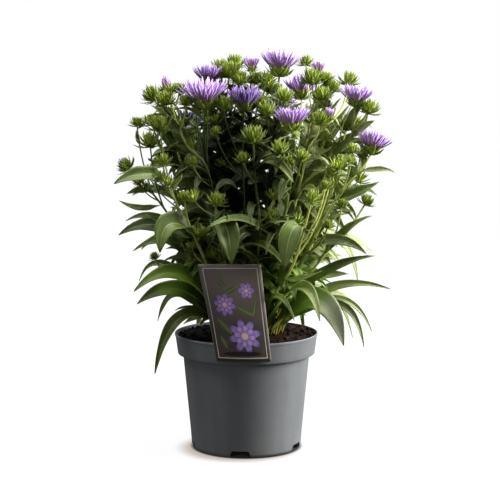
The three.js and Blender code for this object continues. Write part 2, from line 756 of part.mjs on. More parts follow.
export default plant;
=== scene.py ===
"""A potted Stokes' aster in bloom: lavender heads, spiky buds and lance-shaped leaves in a grey nursery pot.

The plant's points and sizes are written in millimetres, as a grower would measure them, and placed in metres.
"""

import logging
import math
from bisect import bisect_right
from collections.abc import Callable, Iterator, Sequence
from dataclasses import dataclass, replace
from enum import Enum
from functools import cached_property
from itertools import accumulate
from random import Random

import bmesh
import bpy
from bmesh.types import BMesh
from bpy.types import ID, Material, Mesh, Node, NodeSocket, Object
from mathutils import Matrix, Vector, noise


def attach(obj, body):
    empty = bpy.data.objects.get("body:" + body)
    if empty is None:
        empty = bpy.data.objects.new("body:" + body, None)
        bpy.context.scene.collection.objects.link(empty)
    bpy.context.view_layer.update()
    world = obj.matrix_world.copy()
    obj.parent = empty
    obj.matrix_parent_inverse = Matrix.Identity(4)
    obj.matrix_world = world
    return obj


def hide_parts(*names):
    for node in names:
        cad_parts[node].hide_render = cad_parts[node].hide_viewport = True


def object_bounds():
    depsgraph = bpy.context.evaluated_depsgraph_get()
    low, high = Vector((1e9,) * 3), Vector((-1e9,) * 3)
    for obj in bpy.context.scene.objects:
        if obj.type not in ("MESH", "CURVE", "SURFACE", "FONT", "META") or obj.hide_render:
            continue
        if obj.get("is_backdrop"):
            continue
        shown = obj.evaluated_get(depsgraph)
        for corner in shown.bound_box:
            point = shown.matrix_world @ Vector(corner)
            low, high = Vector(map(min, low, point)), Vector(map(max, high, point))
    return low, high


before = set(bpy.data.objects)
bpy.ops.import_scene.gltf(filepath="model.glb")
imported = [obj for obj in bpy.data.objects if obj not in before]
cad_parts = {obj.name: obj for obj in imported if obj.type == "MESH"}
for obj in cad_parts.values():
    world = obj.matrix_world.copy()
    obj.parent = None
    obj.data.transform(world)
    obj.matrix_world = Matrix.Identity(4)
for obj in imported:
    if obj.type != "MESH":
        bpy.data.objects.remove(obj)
CAD_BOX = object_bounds()

LOG = logging.getLogger("stokes_aster")
SEED = 11

Pair = tuple[float, float]
Triple = tuple[float, float, float]
Screen = tuple[int, int, int]
Colour = tuple[float, float, float, float]
Region = tuple[Triple, Triple]
Inputs = dict[str | int, object]
Finish = tuple[Material, ...]

MM = 0.001
BODY = "root"
TINT = "tint"
WHOLE_TURN = 2 * math.pi
GOLDEN_TURN = math.radians(137.5)

# Where the front view is taken from, in millimetres, and how it looks
EYE = Vector((5.0, -1920.0, 490.0))
CAMERA_PITCH = math.radians(6.73)
SENSOR_WIDTH = 36.0
CAMERA_LENS = 105.3
CAMERA_REACH = 30.0

# Levels that the plant grows from and its crown, in millimetres
SOIL_LEVEL = 150.0
FOOT_LEVEL = 159.6
CROWN_AT = Vector((6.0, -4.0, 0.0))
CROWN_RADIUS = 45.0
CROWN_HEIGHT = 9.3
STUBS = 130
STUBS_REACH = 42

# Sizes of stems, leaves and petals, in millimetres, and how far open heads turn upright
STEM_RADIUS = 2.1
STEM_TIP_RADIUS = 1.15
BRANCH_RADIUS = 0.95
LEAF_THICKNESS = 0.45
BASAL_THICKNESS = 1.3 * LEAF_THICKNESS
PETAL_WIDTH = 4.3
BLOOM_UPRIGHT = 0.5

# Where light and shade are painted on the plant's colours: the middle of each region and half its size, in
# metres
# Painted shade: a dull dark green in the plant's heart
SHADY: Region = ((-0.004, 0.02, 0.372), (0.082, 0.15, 0.102))
# Lighter yellow-green leaves low at the right: young leaves, with a painted glow of light through them
PAINTED_GLOW_RIGHT: Region = ((0.064, -0.05, 0.212), (0.056, 0.07, 0.056))
# A painted highlight on the leaves low at the left
PAINTED_HIGHLIGHT_LEFT: Region = ((-0.09, -0.07, 0.236), (0.044, 0.05, 0.03))
# A painted silvery reflection on the leaves low at the right
PAINTED_SHEEN_RIGHT: Region = ((0.118, -0.1, 0.172), (0.036, 0.05, 0.05))


class Slot(Enum):
    """Names of material slots."""

    POT = "pot_plastic"
    PEAT = "peat"
    CROWN = "crown_fibre"
    LABEL = "label_plastic"
    SHOOT = "shoot_green"
    LEAF = "leaf_green"
    PETAL = "petals"


class Stage(Enum):
    """How far a head has opened."""

    BUD = "bud"
    OPENING = "opening"
    BLOOM = "bloom"


@dataclass(frozen=True)
class Head:
    """A bud or an open head on the end of a stem or a branch.

    at is [across, up, depth] and size is the width over the bracts or petals. start is the share of the stem
    that the branch leaves from, or 1 for the head that ends the stem. petals is how far the first petals of
    an opening bud reach above its middle.
    """

    stage: Stage
    at: Triple
    size: float
    start: float = 1.0
    name: str = ""
    petals: float = 0.0


@dataclass(frozen=True)
class Leaf:
    """A stem leaf: the share of the stem it leaves from, what it arches towards, its tip and its width."""

    start: float
    over: Triple
    tip: Triple
    width: float


@dataclass(frozen=True)
class Shoot:
    """One branched stem: its foot on the crown, its bends, its heads and the leaves that show most."""

    foot: Pair
    bends: list[Triple]
    heads: list[Head]
    leaves: list[Leaf]


def bud(across: float, up: float, depth: float, size: float, start: float = 1.0) -> Head:
    """A green bud."""
    return Head(Stage.BUD, (across, up, depth), size, start)


def tipped(across: float, up: float, depth: float, size: float, petals: float, start: float = 1.0) -> Head:
    """A bud whose first petals show."""
    return Head(Stage.OPENING, (across, up, depth), size, start, petals=petals)


def bloom(name: str, across: float, up: float, depth: float, size: float, start: float = 1.0) -> Head:
    """An open head."""
    return Head(Stage.BLOOM, (across, up, depth), size, start, name)


SHOOTS = [
    Shoot((-24, -8), [(-60, 235, -20), (-101, 308, -20), (-127, 343, -18)], [
        tipped(-157, 374, -14, 20, 14), bud(-126, 405, -42, 26, 0.72), bud(-143, 430, -10, 16, 0.8),
    ], [
        Leaf(0.84, (-140, 346, -24), (-157, 338, -26), 8), Leaf(0.74, (-140, 312, -16), (-167, 329, -10), 9),
        Leaf(0.6, (-128, 320, -36), (-159, 302, -40), 11), Leaf(0.52, (-122, 316, 0), (-169, 283, 8), 20),
        Leaf(0.4, (-112, 300, -34), (-139, 264, -44), 14),
    ]),
    Shoot((-13, -16), [(-36, 290, -36), (-54, 376, -50), (-78, 402, -50), (-90, 428, -46)], [
        tipped(-102, 472, -34, 19, 22), bud(-78, 458, -58, 19, 0.84), bud(-122, 465, -20, 24, 0.9),
        bud(-106, 459, -56, 22, 0.88), bud(-87, 474, -30, 17, 0.92),
    ], [
        Leaf(0.66, (-84, 356, -60), (-90, 394, -66), 9), Leaf(0.8, (-104, 446, -50), (-128, 440, -48), 12),
        Leaf(0.86, (-94, 450, -40), (-122, 452, -32), 10), Leaf(0.76, (-90, 440, -36), (-116, 424, -30), 12),
        Leaf(0.45, (-30, 330, -66), (-44, 300, -70), 14),
    ]),
    Shoot((-20, -20), [(-58, 262, -56), (-92, 325, -72), (-104, 352, -76)], [
        bud(-110, 380, -80, 18), bud(-113, 427, -60, 26, 0.76),
    ], [
        Leaf(0.92, (-140, 372, -84), (-174, 351, -88), 20),
        Leaf(0.55, (-112, 300, -78), (-134, 312, -84), 13),
    ]),
    Shoot((-7, -10), [(-30, 270, -22), (-47, 336, -30), (-54, 400, -44)], [
        bloom("flower_01", -55, 454, -56, 60), bloom("flower_02", -50, 483, 0, 38, 0.76),
        tipped(-74, 418, -16, 15, 10, 0.7), bud(-65, 447, -34, 14, 0.72),
    ], [
        Leaf(0.5, (-60, 360, 4), (-92, 348, 18), 14), Leaf(0.62, (-62, 380, -60), (-68, 338, -76), 12),
        Leaf(0.7, (-60, 440, 6), (-82, 438, 10), 9),
    ]),
    Shoot((-8, 6), [(-24, 300, 15), (-30, 420, 20)], [
        bud(-32, 501, 25, 24), bud(-14, 508, 44, 22, 0.8), bud(-22, 496, 6, 28, 0.84),
        bud(-8, 487, 22, 20, 0.74),
    ], [
        Leaf(0.55, (-48, 400, 10), (-74, 372, 6), 13), Leaf(0.42, (2, 348, 34), (30, 330, 48), 14),
    ]),
    Shoot((-1, -18), [(-2, 280, -34), (-4, 360, -40), (-5, 400, -48)], [
        bloom("flower_03", -3, 451, -56, 46), bud(-30, 453, -62, 22, 0.78), bud(-40, 419, -76, 13, 0.7),
    ], [
        Leaf(0.6, (-28, 372, -64), (-42, 338, -82), 12), Leaf(0.45, (-18, 318, -62), (-26, 284, -62), 13),
    ]),
    Shoot((7, -24), [(18, 300, -70), (12, 352, -84), (10, 386, -92)], [
        bud(9, 411, -96, 28), bud(-4, 383, -108, 17, 0.78),
    ], [
        Leaf(0.85, (22, 396, -104), (38, 388, -112), 11), Leaf(0.66, (2, 334, -96), (6, 300, -108), 10),
    ]),
    Shoot((4, 4), [(0, 320, 6), (4, 430, 12)], [
        bloom("flower_04", 7, 500, 20, 26), bud(15, 458, -38, 24, 0.76), bud(28, 487, -14, 18, 0.84),
        bud(12, 487, 2, 20, 0.9), bud(31, 473, 8, 20, 0.86),
    ], [
        Leaf(0.58, (18, 410, 30), (44, 392, 44), 13),
    ]),
    Shoot((13, -8), [(26, 320, -12), (38, 430, -8)], [
        bloom("flower_05", 43, 496, -5, 52), bud(50, 464, -38, 22, 0.8), bud(26, 446, -64, 21, 0.74),
    ], [
        Leaf(0.6, (52, 392, -34), (72, 360, -46), 12),
    ]),
    Shoot((17, -20), [(46, 290, -60), (58, 350, -74), (62, 385, -78)], [
        bloom("flower_06", 60, 425, -78, 46), bud(44, 396, -108, 21, 0.76), bud(72, 386, -112, 18, 0.7),
    ], [
        Leaf(0.46, (-4, 326, -112), (-52, 292, -118), 17), Leaf(0.74, (50, 350, -96), (42, 328, -104), 10),
    ]),
    Shoot((19, 3), [(60, 330, 10), (80, 412, 10), (88, 452, 10)], [
        bloom("flower_07", 93, 495, 10, 24), bud(78, 509, 44, 18, 0.86),
        bloom("flower_08", 72, 466, 62, 48, 0.7), bud(86, 487, -4, 27, 0.9), bud(103, 488, 4, 18, 0.93),
        bud(112, 477, -2, 19, 0.86),
    ], [
        Leaf(0.9, (104, 484, 2), (117, 493, -4), 9), Leaf(0.55, (96, 372, 34), (120, 350, 50), 14),
    ]),
    Shoot((24, -4), [(66, 330, -16), (83, 398, -22), (98, 420, -18), (116, 438, -6), (126, 452, 4)], [
        bud(134, 485, 14, 22), bloom("flower_09", 109, 438, -40, 16, 0.76), bud(99, 466, -28, 22, 0.8),
        bud(103, 454, -20, 18, 0.77), bud(97, 434, -48, 21, 0.68),
    ], [
        Leaf(0.7, (98, 382, -44), (112, 400, -54), 12), Leaf(0.5, (80, 362, -56), (98, 330, -76), 12),
    ]),
    Shoot((31, -3), [(86, 320, -8), (116, 386, -12), (138, 416, -16)], [
        bloom("flower_10", 143, 456, -20, 42), bud(143, 430, 26, 18, 0.82), bud(160, 448, -28, 24, 0.9),
        bud(130, 425, -10, 19, 0.8),
    ], [
        Leaf(0.78, (138, 398, -34), (140, 374, -44), 9), Leaf(0.9, (134, 438, -18), (153, 457, -20), 14),
        Leaf(0.86, (146, 424, -22), (168, 434, -28), 13), Leaf(0.8, (124, 430, -26), (138, 454, -32), 13),
        Leaf(0.74, (130, 414, -24), (156, 408, -30), 13), Leaf(0.45, (136, 300, 22), (148, 221, 30), 14),
    ]),
    Shoot((32, -12), [(82, 262, -34), (110, 318, -40), (128, 344, -42), (152, 370, -38)], [
        bloom("flower_11", 163, 394, -32, 46), bud(140, 395, -62, 16, 0.76), bud(151, 388, -22, 15, 0.72),
    ], [
        Leaf(0.72, (150, 336, -54), (175, 354, -60), 18), Leaf(0.9, (184, 374, -40), (195, 366, -44), 8),
        Leaf(0.82, (148, 378, -28), (131, 398, -24), 12), Leaf(0.88, (158, 378, -26), (150, 404, -20), 11),
        Leaf(0.3, (112, 232, -26), (136, 232, -30), 14),
    ]),
    Shoot((31, -22), [(84, 232, -46), (116, 272, -52), (144, 304, -44)], [
        bud(158, 327, -40, 18), bud(126, 324, -82, 14, 0.62),
    ], [
        Leaf(0.55, (138, 302, -80), (166, 309, -88), 17), Leaf(0.3, (124, 252, -66), (171, 256, -70), 14),
    ]),
    Shoot((17, -32), [(62, 244, -88), (77, 293, -108), (82, 312, -114)], [
        bud(86, 331, -120, 19), bud(104, 348, -106, 13, 0.7), bud(112, 366, -92, 17, 0.62),
    ], [
        Leaf(0.8, (58, 316, -124), (50, 237, -128), 25), Leaf(0.45, (76, 220, -112), (100, 236, -124), 13),
    ]),
    Shoot((25, -28), [(74, 250, -66), (98, 306, -76), (114, 350, -74)], [
        bud(124, 381, -70, 15), bud(108, 296, -104, 14, 0.5),
    ], [
        Leaf(0.56, (131, 288, -92), (159, 258, -100), 14),
    ]),
    Shoot((-6, -32), [(-24, 230, -58), (-36, 282, -82), (-41, 310, -92)], [
        bud(-39, 328, -96, 20),
    ], [
        Leaf(0.84, (-22, 314, -112), (-20, 245, -116), 28),
    ]),
    Shoot((-14, -28), [(-50, 240, -70), (-66, 275, -84), (-77, 303, -90)], [
        bud(-82, 332, -90, 17),
    ], [
        Leaf(0.78, (-112, 322, -100), (-114, 260, -112), 29),
    ]),
    Shoot((-30, -8), [(-66, 216, -12), (-96, 232, -18), (-114, 240, -22)], [
        bud(-121, 254, -24, 12),
    ], [
        Leaf(0.12, (-80, 196, -20), (-95, 182, -26), 7),
    ]),
    Shoot((-19, 12), [(-60, 300, 46), (-74, 390, 62)], [
        bloom("flower_12", -76, 424, 66, 42), bud(-124, 432, 44, 20, 0.76), bud(-66, 434, 104, 20, 0.8),
        bud(-130, 366, 84, 18, 0.55), bud(-93, 431, 26, 16, 0.86),
    ], [
        Leaf(0.45, (-110, 290, 92), (-150, 262, 108), 20), Leaf(0.6, (-118, 360, 40), (-150, 336, 30), 15),
        Leaf(0.35, (-70, 290, 96), (-86, 238, 130), 20), Leaf(0.05, (-54, 188, 20), (-84, 164, 30), 16),
        Leaf(0.04, (-40, 190, 30), (-62, 162, 46), 18), Leaf(0.86, (-84, 452, 40), (-106, 468, 34), 15),
        Leaf(0.92, (-76, 450, 50), (-90, 476, 44), 13), Leaf(0.8, (-96, 440, 44), (-124, 454, 40), 16),
        Leaf(0.72, (-100, 420, 50), (-136, 438, 46), 16),
    ]),
    Shoot((-5, 19), [(-20, 300, 78), (-28, 410, 102)], [
        bloom("flower_13", -30, 448, 110, 44), bud(-54, 440, 134, 20, 0.8), bud(-6, 438, 138, 18, 0.78),
        bud(-28, 376, 156, 18, 0.6),
    ], [
        Leaf(0.8, (-40, 420, 98), (-62, 396, 92), 17), Leaf(0.7, (-30, 400, 110), (-48, 376, 104), 15),
        Leaf(0.86, (-24, 430, 104), (-2, 406, 100), 16), Leaf(0.42, (-34, 306, 132), (-44, 246, 160), 22),
        Leaf(0.55, (-60, 360, 124), (-92, 330, 134), 16), Leaf(0.5, (16, 340, 116), (34, 300, 136), 15),
    ]),
    Shoot((11, 19), [(36, 300, 82), (42, 410, 106)], [
        bloom("flower_14", 44, 444, 116, 46), bud(70, 440, 136, 20, 0.8), bud(26, 484, 84, 19, 0.84),
        bud(50, 384, 156, 18, 0.6),
    ], [
        Leaf(0.88, (24, 442, 100), (-2, 422, 96), 18), Leaf(0.75, (30, 414, 98), (6, 396, 96), 19),
        Leaf(0.8, (18, 426, 96), (-10, 408, 90), 17), Leaf(0.9, (34, 436, 104), (22, 414, 110), 16),
        Leaf(0.95, (52, 446, 86), (76, 458, 80), 16), Leaf(0.93, (40, 452, 86), (24, 470, 82), 15),
        Leaf(0.55, (26, 356, 98), (8, 318, 94), 19), Leaf(0.5, (34, 350, 104), (26, 316, 108), 18),
        Leaf(0.4, (56, 296, 136), (74, 240, 156), 22), Leaf(0.56, (84, 352, 128), (112, 316, 138), 16),
    ]),
    Shoot((24, 12), [(70, 300, 60), (86, 366, 82)], [
        bloom("flower_15", 90, 396, 96, 40), bud(134, 432, 60, 20, 0.78), bud(84, 424, 128, 20, 0.82),
        bud(126, 372, 108, 18, 0.58),
    ], [
        Leaf(0.42, (126, 300, 92), (166, 262, 104), 22), Leaf(0.6, (140, 368, 58), (172, 336, 52), 15),
        Leaf(0.95, (104, 440, 80), (124, 464, 70), 15), Leaf(0.93, (118, 430, 66), (136, 456, 56), 15),
        Leaf(0.9, (100, 420, 80), (118, 452, 76), 16), Leaf(0.9, (112, 424, 76), (138, 442, 66), 16),
        Leaf(0.86, (114, 408, 72), (148, 420, 60), 15), Leaf(0.8, (112, 392, 70), (152, 398, 56), 16),
        Leaf(0.88, (92, 430, 84), (104, 458, 76), 15), Leaf(0.92, (80, 424, 90), (68, 452, 84), 15),
    ]),
]

# Long leaves from the crown: the foot, what each arches towards, its tip and its width
BASAL_LEAVES = [
    ((-28, -22), (-98, 221, -64), (-122, 97, -76), 17), ((-20, -32), (-82, 278, -66), (-149, 208, -80), 30),
    ((-31, -15), (-86, 246, -50), (-145, 191, -66), 28), ((-33, -3), (-116, 292, 6), (-142, 222, 20), 14),
    ((41, -14), (106, 242, -16), (192, 211, -10), 13), ((34, -30), (104, 250, -92), (130, 135, -104), 35),
    ((41, -19), (140, 240, -62), (157, 133, -72), 12), ((44, -7), (132, 240, 6), (167, 155, 12), 11),
    ((43, 3), (110, 240, 40), (156, 174, 62), 18), ((6, -42), (40, 244, -98), (64, 168, -122), 10),
    ((23, -38), (80, 270, -112), (98, 168, -128), 22), ((-27, 14), (-96, 250, 40), (-118, 168, 60), 18),
    ((-15, 28), (-48, 276, 100), (-66, 132, 146), 24), ((4, 34), (4, 262, 112), (8, 148, 160), 25),
    ((22, 30), (58, 280, 100), (78, 140, 140), 24), ((36, 18), (110, 262, 72), (142, 146, 96), 22),
]


def paint(colour: "Signal | Screen") -> "Signal | Colour":
    """The linear values that nodes take for a colour of the screen. A signal stays as it is."""
    if isinstance(colour, Signal):
        return colour
    linear = [((c / 255 + 0.055) / 1.055) ** 2.4 if c > 10 else c / 255 / 12.92 for c in colour]
    return (*linear, 1.0)


def blend(low: float, high: float, share: float) -> float:
    """The value at a share of the way from low to high."""
    return low + (high - low) * share


def clamped(value: float) -> float:
    """The value, kept from 0 to 1."""
    return min(1.0, max(0.0, value))


def smooth(low: float, high: float, value: float) -> float:
    """0 up to low, 1 from high, and a smooth rise between."""
    share = clamped((value - low) / (high - low))
    return share * share * (3 - 2 * share)


def read_off(pairs: Sequence[Pair], value: float) -> float:
    """The second number of sorted pairs, read off straight lines between the first numbers."""
    index = min(max(bisect_right([first for first, _ in pairs], value), 1), len(pairs) - 1)
    (start, low), (end, high) = pairs[index - 1], pairs[index]
    return blend(low, high, clamped((value - start) / (end - start)))


def up(height: float) -> Vector:
    """The way straight up."""
    return Vector((0, 0, height))


def level(turn: float) -> Vector:
    """A level direction."""
    return Vector((math.cos(turn), math.sin(turn), 0))


def seen(spot: Triple) -> Vector:
    """The point in metres of a plant spot (across, up, depth), which lies on the line of sight from EYE."""
    across, height, depth = spot
    far = (depth - EYE.y) / -EYE.y
    return Vector((EYE.x + (across - EYE.x) * far, depth, EYE.z + (height - EYE.z) * far)) * MM


def turned(angle: float, axis: str) -> Matrix:
    """A turn about an axis."""
    return Matrix.Rotation(angle, 4, axis)


def moved(out: float, height: float) -> Matrix:
    """A move along y and z."""
    return Matrix.Translation((0, out, height))


def sized(width: float, length: float) -> Matrix:
    """A scale to a width across and a length along z."""
    return Matrix.Diagonal((width, width, length, 1))


class Path:
    """A smooth line, measured by its own length."""

    STEPS = 24

    def __init__(self, points: Sequence[Vector]) -> None:
        """Measures the line through the points."""
        self.points = points
        legs = ((after - before).length for before, after in zip(points, points[1:]))
        self.reached = list(accumulate(legs, initial=0.0))

    @classmethod
    def through(cls, knots: Sequence[Vector]) -> "Path":
        """A line through every knot, which keeps close to the straight way between near knots."""
        spots = [2 * knots[0] - knots[1], *knots, 2 * knots[-1] - knots[-2]]
        points = [knots[0]]
        for a, b, c, d in zip(spots, spots[1:], spots[2:], spots[3:]):
            ab, bc, cd = (math.sqrt((q - p).length) for p, q in ((a, b), (b, c), (c, d)))
            leave = ((b - a) / ab - (c - a) / (ab + bc) + (c - b) / bc) * bc
            arrive = ((c - b) / bc - (d - b) / (bc + cd) + (d - c) / cd) * bc
            bend = -3 * b + 3 * c - 2 * leave - arrive
            turn = 2 * b - 2 * c + leave + arrive
            for step in range(1, cls.STEPS + 1):
                t = step / cls.STEPS
                points.append(b + leave * t + bend * t * t + turn * t**3)
        return cls(points)

    @classmethod
    def bow(cls, start: Vector, over: Vector, end: Vector) -> "Path":
        """An arch from start to end that is pulled towards over."""
        shares = [step / cls.STEPS for step in range(cls.STEPS + 1)]
        return cls([start * (1 - t) ** 2 + over * 2 * t * (1 - t) + end * t * t for t in shares])

    def _leg(self, share: float) -> tuple[int, float]:
        """The end of the stretch that a share of the length falls on, and the part of it that is passed."""
        reach = clamped(share) * self.reached[-1]
        index = min(max(bisect_right(self.reached, reach), 1), len(self.points) - 1)
        start, end = self.reached[index - 1], self.reached[index]
        return index, (reach - start) / (end - start)

    def at(self, share: float) -> Vector:
        """The point at a share of the length."""
        index, part = self._leg(share)
        return self.points[index - 1].lerp(self.points[index], part)

    def run(self, share: float) -> Vector:
        """The direction at a share of the length."""
        index, part = self._leg(share)
        here = self.points[index] - self.points[index - 1]
        ahead = self.points[min(index + 1, len(self.points) - 1)] - self.points[index]
        return (here.normalized().lerp(ahead.normalized(), part) if ahead.length > 0 else here).normalized()

    @cached_property
    def side(self) -> Vector:
        """A level direction square to the way from start to end."""
        way = self.points[-1] - self.points[0]
        return Vector((way.y, -way.x, 1e-6)).normalized() if way.xy.length > 1e-6 else Vector((1, 0, 0))


@dataclass(frozen=True)
class Ribbon:
    """A path that a tube or a blade follows with one side level.

    roll turns the side soon after the start and twist turns it along the whole way, in radians.
    """

    path: Path
    roll: float = 0.0
    twist: float = 0.0

    def place(self, share: float, across: float, out: float) -> Vector:
        """The point across and out from the path at a share of its length."""
        along, side = self.path.run(share), self.path.side
        broad = (side - along * side.dot(along)).normalized()
        face = broad.cross(along)
        turn = self.roll * smooth(0.0, 0.35, share) + self.twist * share
        if turn:
            cos, sin = math.cos(turn), math.sin(turn)
            broad, face = broad * cos + face * sin, face * cos - broad * sin
        return self.path.at(share) + broad * across + face * out


def blank() -> BMesh:
    """An empty form with the layers that every piece of the plant has."""
    form = bmesh.new()
    form.verts.layers.float.new(TINT)
    form.loops.layers.uv.new("UVMap")
    return form


def mesh_of(form: BMesh, name: str = "template") -> Mesh:
    """The mesh of a form, which ends with it."""
    mesh = bpy.data.meshes.new(name)
    form.to_mesh(mesh)
    form.free()
    return mesh


def ball(subdivisions: int) -> BMesh:
    """A round form of radius 1."""
    form = blank()
    bmesh.ops.create_icosphere(form, subdivisions=subdivisions, radius=1)
    return form


def cone(sides: int, tip: float) -> BMesh:
    """A closed form from a radius of 1 at z = 0 to a tip radius at z = 1."""
    form = blank()
    bmesh.ops.create_cone(form, cap_ends=True, segments=sides, radius1=1, radius2=tip, depth=1)
    bmesh.ops.translate(form, verts=form.verts, vec=(0, 0, 0.5))
    return form


def column(sides: int, rows: int) -> Mesh:
    """A closed column of radius 1 from z = 0 to z = 1. Its UVs run round and up."""
    form = cone(sides, 1)
    upright = [e for e in form.edges if abs(e.verts[0].co.z - e.verts[1].co.z) > 0.5]
    bmesh.ops.subdivide_edges(form, edges=upright, cuts=rows - 1, use_grid_fill=True)
    layer = form.loops.layers.uv.active
    for corner in (corner for face in form.faces for corner in face.loops):
        corner[layer].uv = (0.5 + corner.vert.co.x / 2, corner.vert.co.z)
    return mesh_of(form)


def grid(columns: int, rows: int) -> Mesh:
    """A flat blade from x = -1 to 1 and y = 0 to 1 that faces +Z. Its UVs run across and along."""
    form = blank()
    bmesh.ops.create_grid(form, x_segments=columns, y_segments=rows, size=1, calc_uvs=True)
    bmesh.ops.translate(form, verts=form.verts, vec=(0, 1, 0))
    bmesh.ops.scale(form, verts=form.verts, vec=(1, 0.5, 1))
    return mesh_of(form)


def spun(outline: Sequence[Pair], steps: int) -> BMesh:
    """A closed round form.

    Args:
        outline: its half section from the axis round to the axis, as radius and height in millimetres.
        steps: the number of its sides.

    Returns:
        The form, with its faces turned outwards.
    """
    form = blank()
    points = [form.verts.new((radius * MM, 0, height * MM)) for radius, height in outline]
    lines = [form.edges.new(pair) for pair in zip(points, points[1:])]
    bmesh.ops.spin(
        form,
        geom=points + lines,
        axis=(0, 0, 1),
        cent=(0, 0, 0),
        angle=WHOLE_TURN,
        steps=steps,
        use_merge=True,
    )
    bmesh.ops.remove_doubles(form, verts=form.verts, dist=1e-6)
    bmesh.ops.recalc_face_normals(form, faces=form.faces)
    return form


def shaped(template: Mesh, place: Matrix | Callable[[Vector], Vector]) -> Mesh:
    """A copy of a template, moved by a matrix or vertex by vertex."""
    copy = template.copy()
    if isinstance(place, Matrix):
        copy.transform(place)
    else:
        for vertex in copy.vertices:
            vertex.co = place(vertex.co)
    return copy


def placed(name: str, data: ID) -> Object:
    """A new object in the scene."""
    thing = bpy.data.objects.new(name, data)
    bpy.context.scene.collection.objects.link(thing)
    return thing


def object_of(mesh: Mesh, name: str, finish: Finish = ()) -> Object:
    """A smooth-shaded object in the scene."""
    for material in finish:
        mesh.materials.append(material)
    mesh.shade_smooth()
    return placed(name, mesh)


def settle(piece: Object, slot: Slot, *nodes: str, thickness: float = 0.0) -> None:
    """Lets a finished piece ride on the body and reports it.

    Args:
        piece: the finished object.
        slot: not used.
        nodes: the CAD nodes that it stands for.
        thickness: of a blade or a card, in millimetres below its upper face, in its second material.
    """
    if thickness:
        solidify = piece.modifiers.new("Thickness", "SOLIDIFY")
        solidify.thickness = thickness * MM
        solidify.offset = -1
        solidify.material_offset = 1
        solidify.material_offset_rim = 1
    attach(piece, BODY)
    if nodes:
        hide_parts(*nodes)
    LOG.info("%s: %d faces", piece.name, len(piece.data.polygons))


class Growth:
    """Shaped copies of small templates that end up in one mesh."""

    def __init__(self) -> None:
        """Starts empty."""
        self.form = bmesh.new()

    def add(self, template: Mesh, place: Matrix | Callable[[Vector], Vector], tint: float = 0.5) -> None:
        """Adds a copy of a template, moved by a matrix or vertex by vertex.

        Args:
            template: the mesh that is copied.
            place: a matrix, or a function from the template's point to the point in the row frame.
            tint: what the finish varies its colour by, mostly from 0 to 1.
        """
        copy = shaped(template, place)
        copy.attributes[TINT].data.foreach_set("value", [tint] * len(copy.vertices))
        self.form.from_mesh(copy)
        bpy.data.meshes.remove(copy)

    def stem(self, template: Mesh, path: Path, radius: float, tip_radius: float, tint: float) -> None:
        """Adds a round stem.

        Args:
            template: a column.
            path: the stem's middle line, in metres.
            radius: the radius at its foot, in millimetres.
            tip_radius: the radius at its tip, in millimetres.
            tint: its shade.
        """
        ribbon = Ribbon(path)

        def place(point: Vector) -> Vector:
            """Wraps a point of the column round the path."""
            thick = blend(radius, tip_radius, point.z) * MM
            return ribbon.place(point.z, point.x * thick, point.y * thick)

        self.add(template, place, tint)

    def settle(self, name: str, slot: Slot, finish: Finish, *nodes: str, thickness: float = 0.0) -> None:
        """Ends the growth as one finished piece.

        Args:
            name: the piece's name.
            slot: the slot that its finish belongs to.
            finish: its materials.
            nodes: the CAD nodes that it stands for.
            thickness: of blades, in millimetres.
        """
        settle(object_of(mesh_of(self.form, name), name, finish), slot, *nodes, thickness=thickness)


def sum_of(operation: str) -> Callable[..., "Signal"]:
    """A method of a signal that works out one sum, with the other terms as its arguments."""
    return lambda self, *terms: self.recipe.node("Math", dict(enumerate((self, *terms))), operation=operation)


@dataclass(frozen=True)
class Signal:
    """The output of a node, which is reckoned with like a number."""

    recipe: "Recipe"
    socket: NodeSocket

    __add__ = sum_of("ADD")
    __sub__ = sum_of("SUBTRACT")
    __mul__ = sum_of("MULTIPLY")
    __truediv__ = sum_of("DIVIDE")
    __pow__ = sum_of("POWER")
    __abs__ = sum_of("ABSOLUTE")
    root = sum_of("SQRT")
    cosine = sum_of("COSINE")
    angle = sum_of("ARCTAN2")
    larger = sum_of("MAXIMUM")
    zigzag = sum_of("PINGPONG")

    def rise(self, low: float, high: float, start: float = 0.0, end: float = 1.0) -> "Signal":
        """A smooth rise of the value from low to high, as start to end."""
        inputs = {"Value": self, "From Min": low, "From Max": high, "To Min": start, "To Max": end}
        return self.recipe.node("MapRange", inputs, interpolation_type="SMOOTHSTEP")

    def fall(self, low: float, high: float) -> "Signal":
        """1 up to low, 0 from high, and a smooth fall between."""
        return self.rise(low, high, 1.0, 0.0)

    def mix(self, low: "Signal | Screen", high: "Signal | Screen") -> "Signal":
        """The colour between two colours, with the value as the share of the second."""
        return self.recipe.node("Mix", {0: self, 6: paint(low), 7: paint(high)}, 2, data_type="RGBA")

    def ramp(self, *stops: tuple[float, int, int, int]) -> "Signal":
        """The colour read off stops at the value. A stop is a value from 0 to 1 and its screen colour."""
        colour = self.recipe.node("ValToRGB", {0: self})
        elements = colour.socket.node.color_ramp.elements
        for _ in stops[2:]:
            elements.new(0.5)
        for element, (position, *screen) in zip(elements, stops):
            element.position = position
            element.color = paint(screen)
        return colour


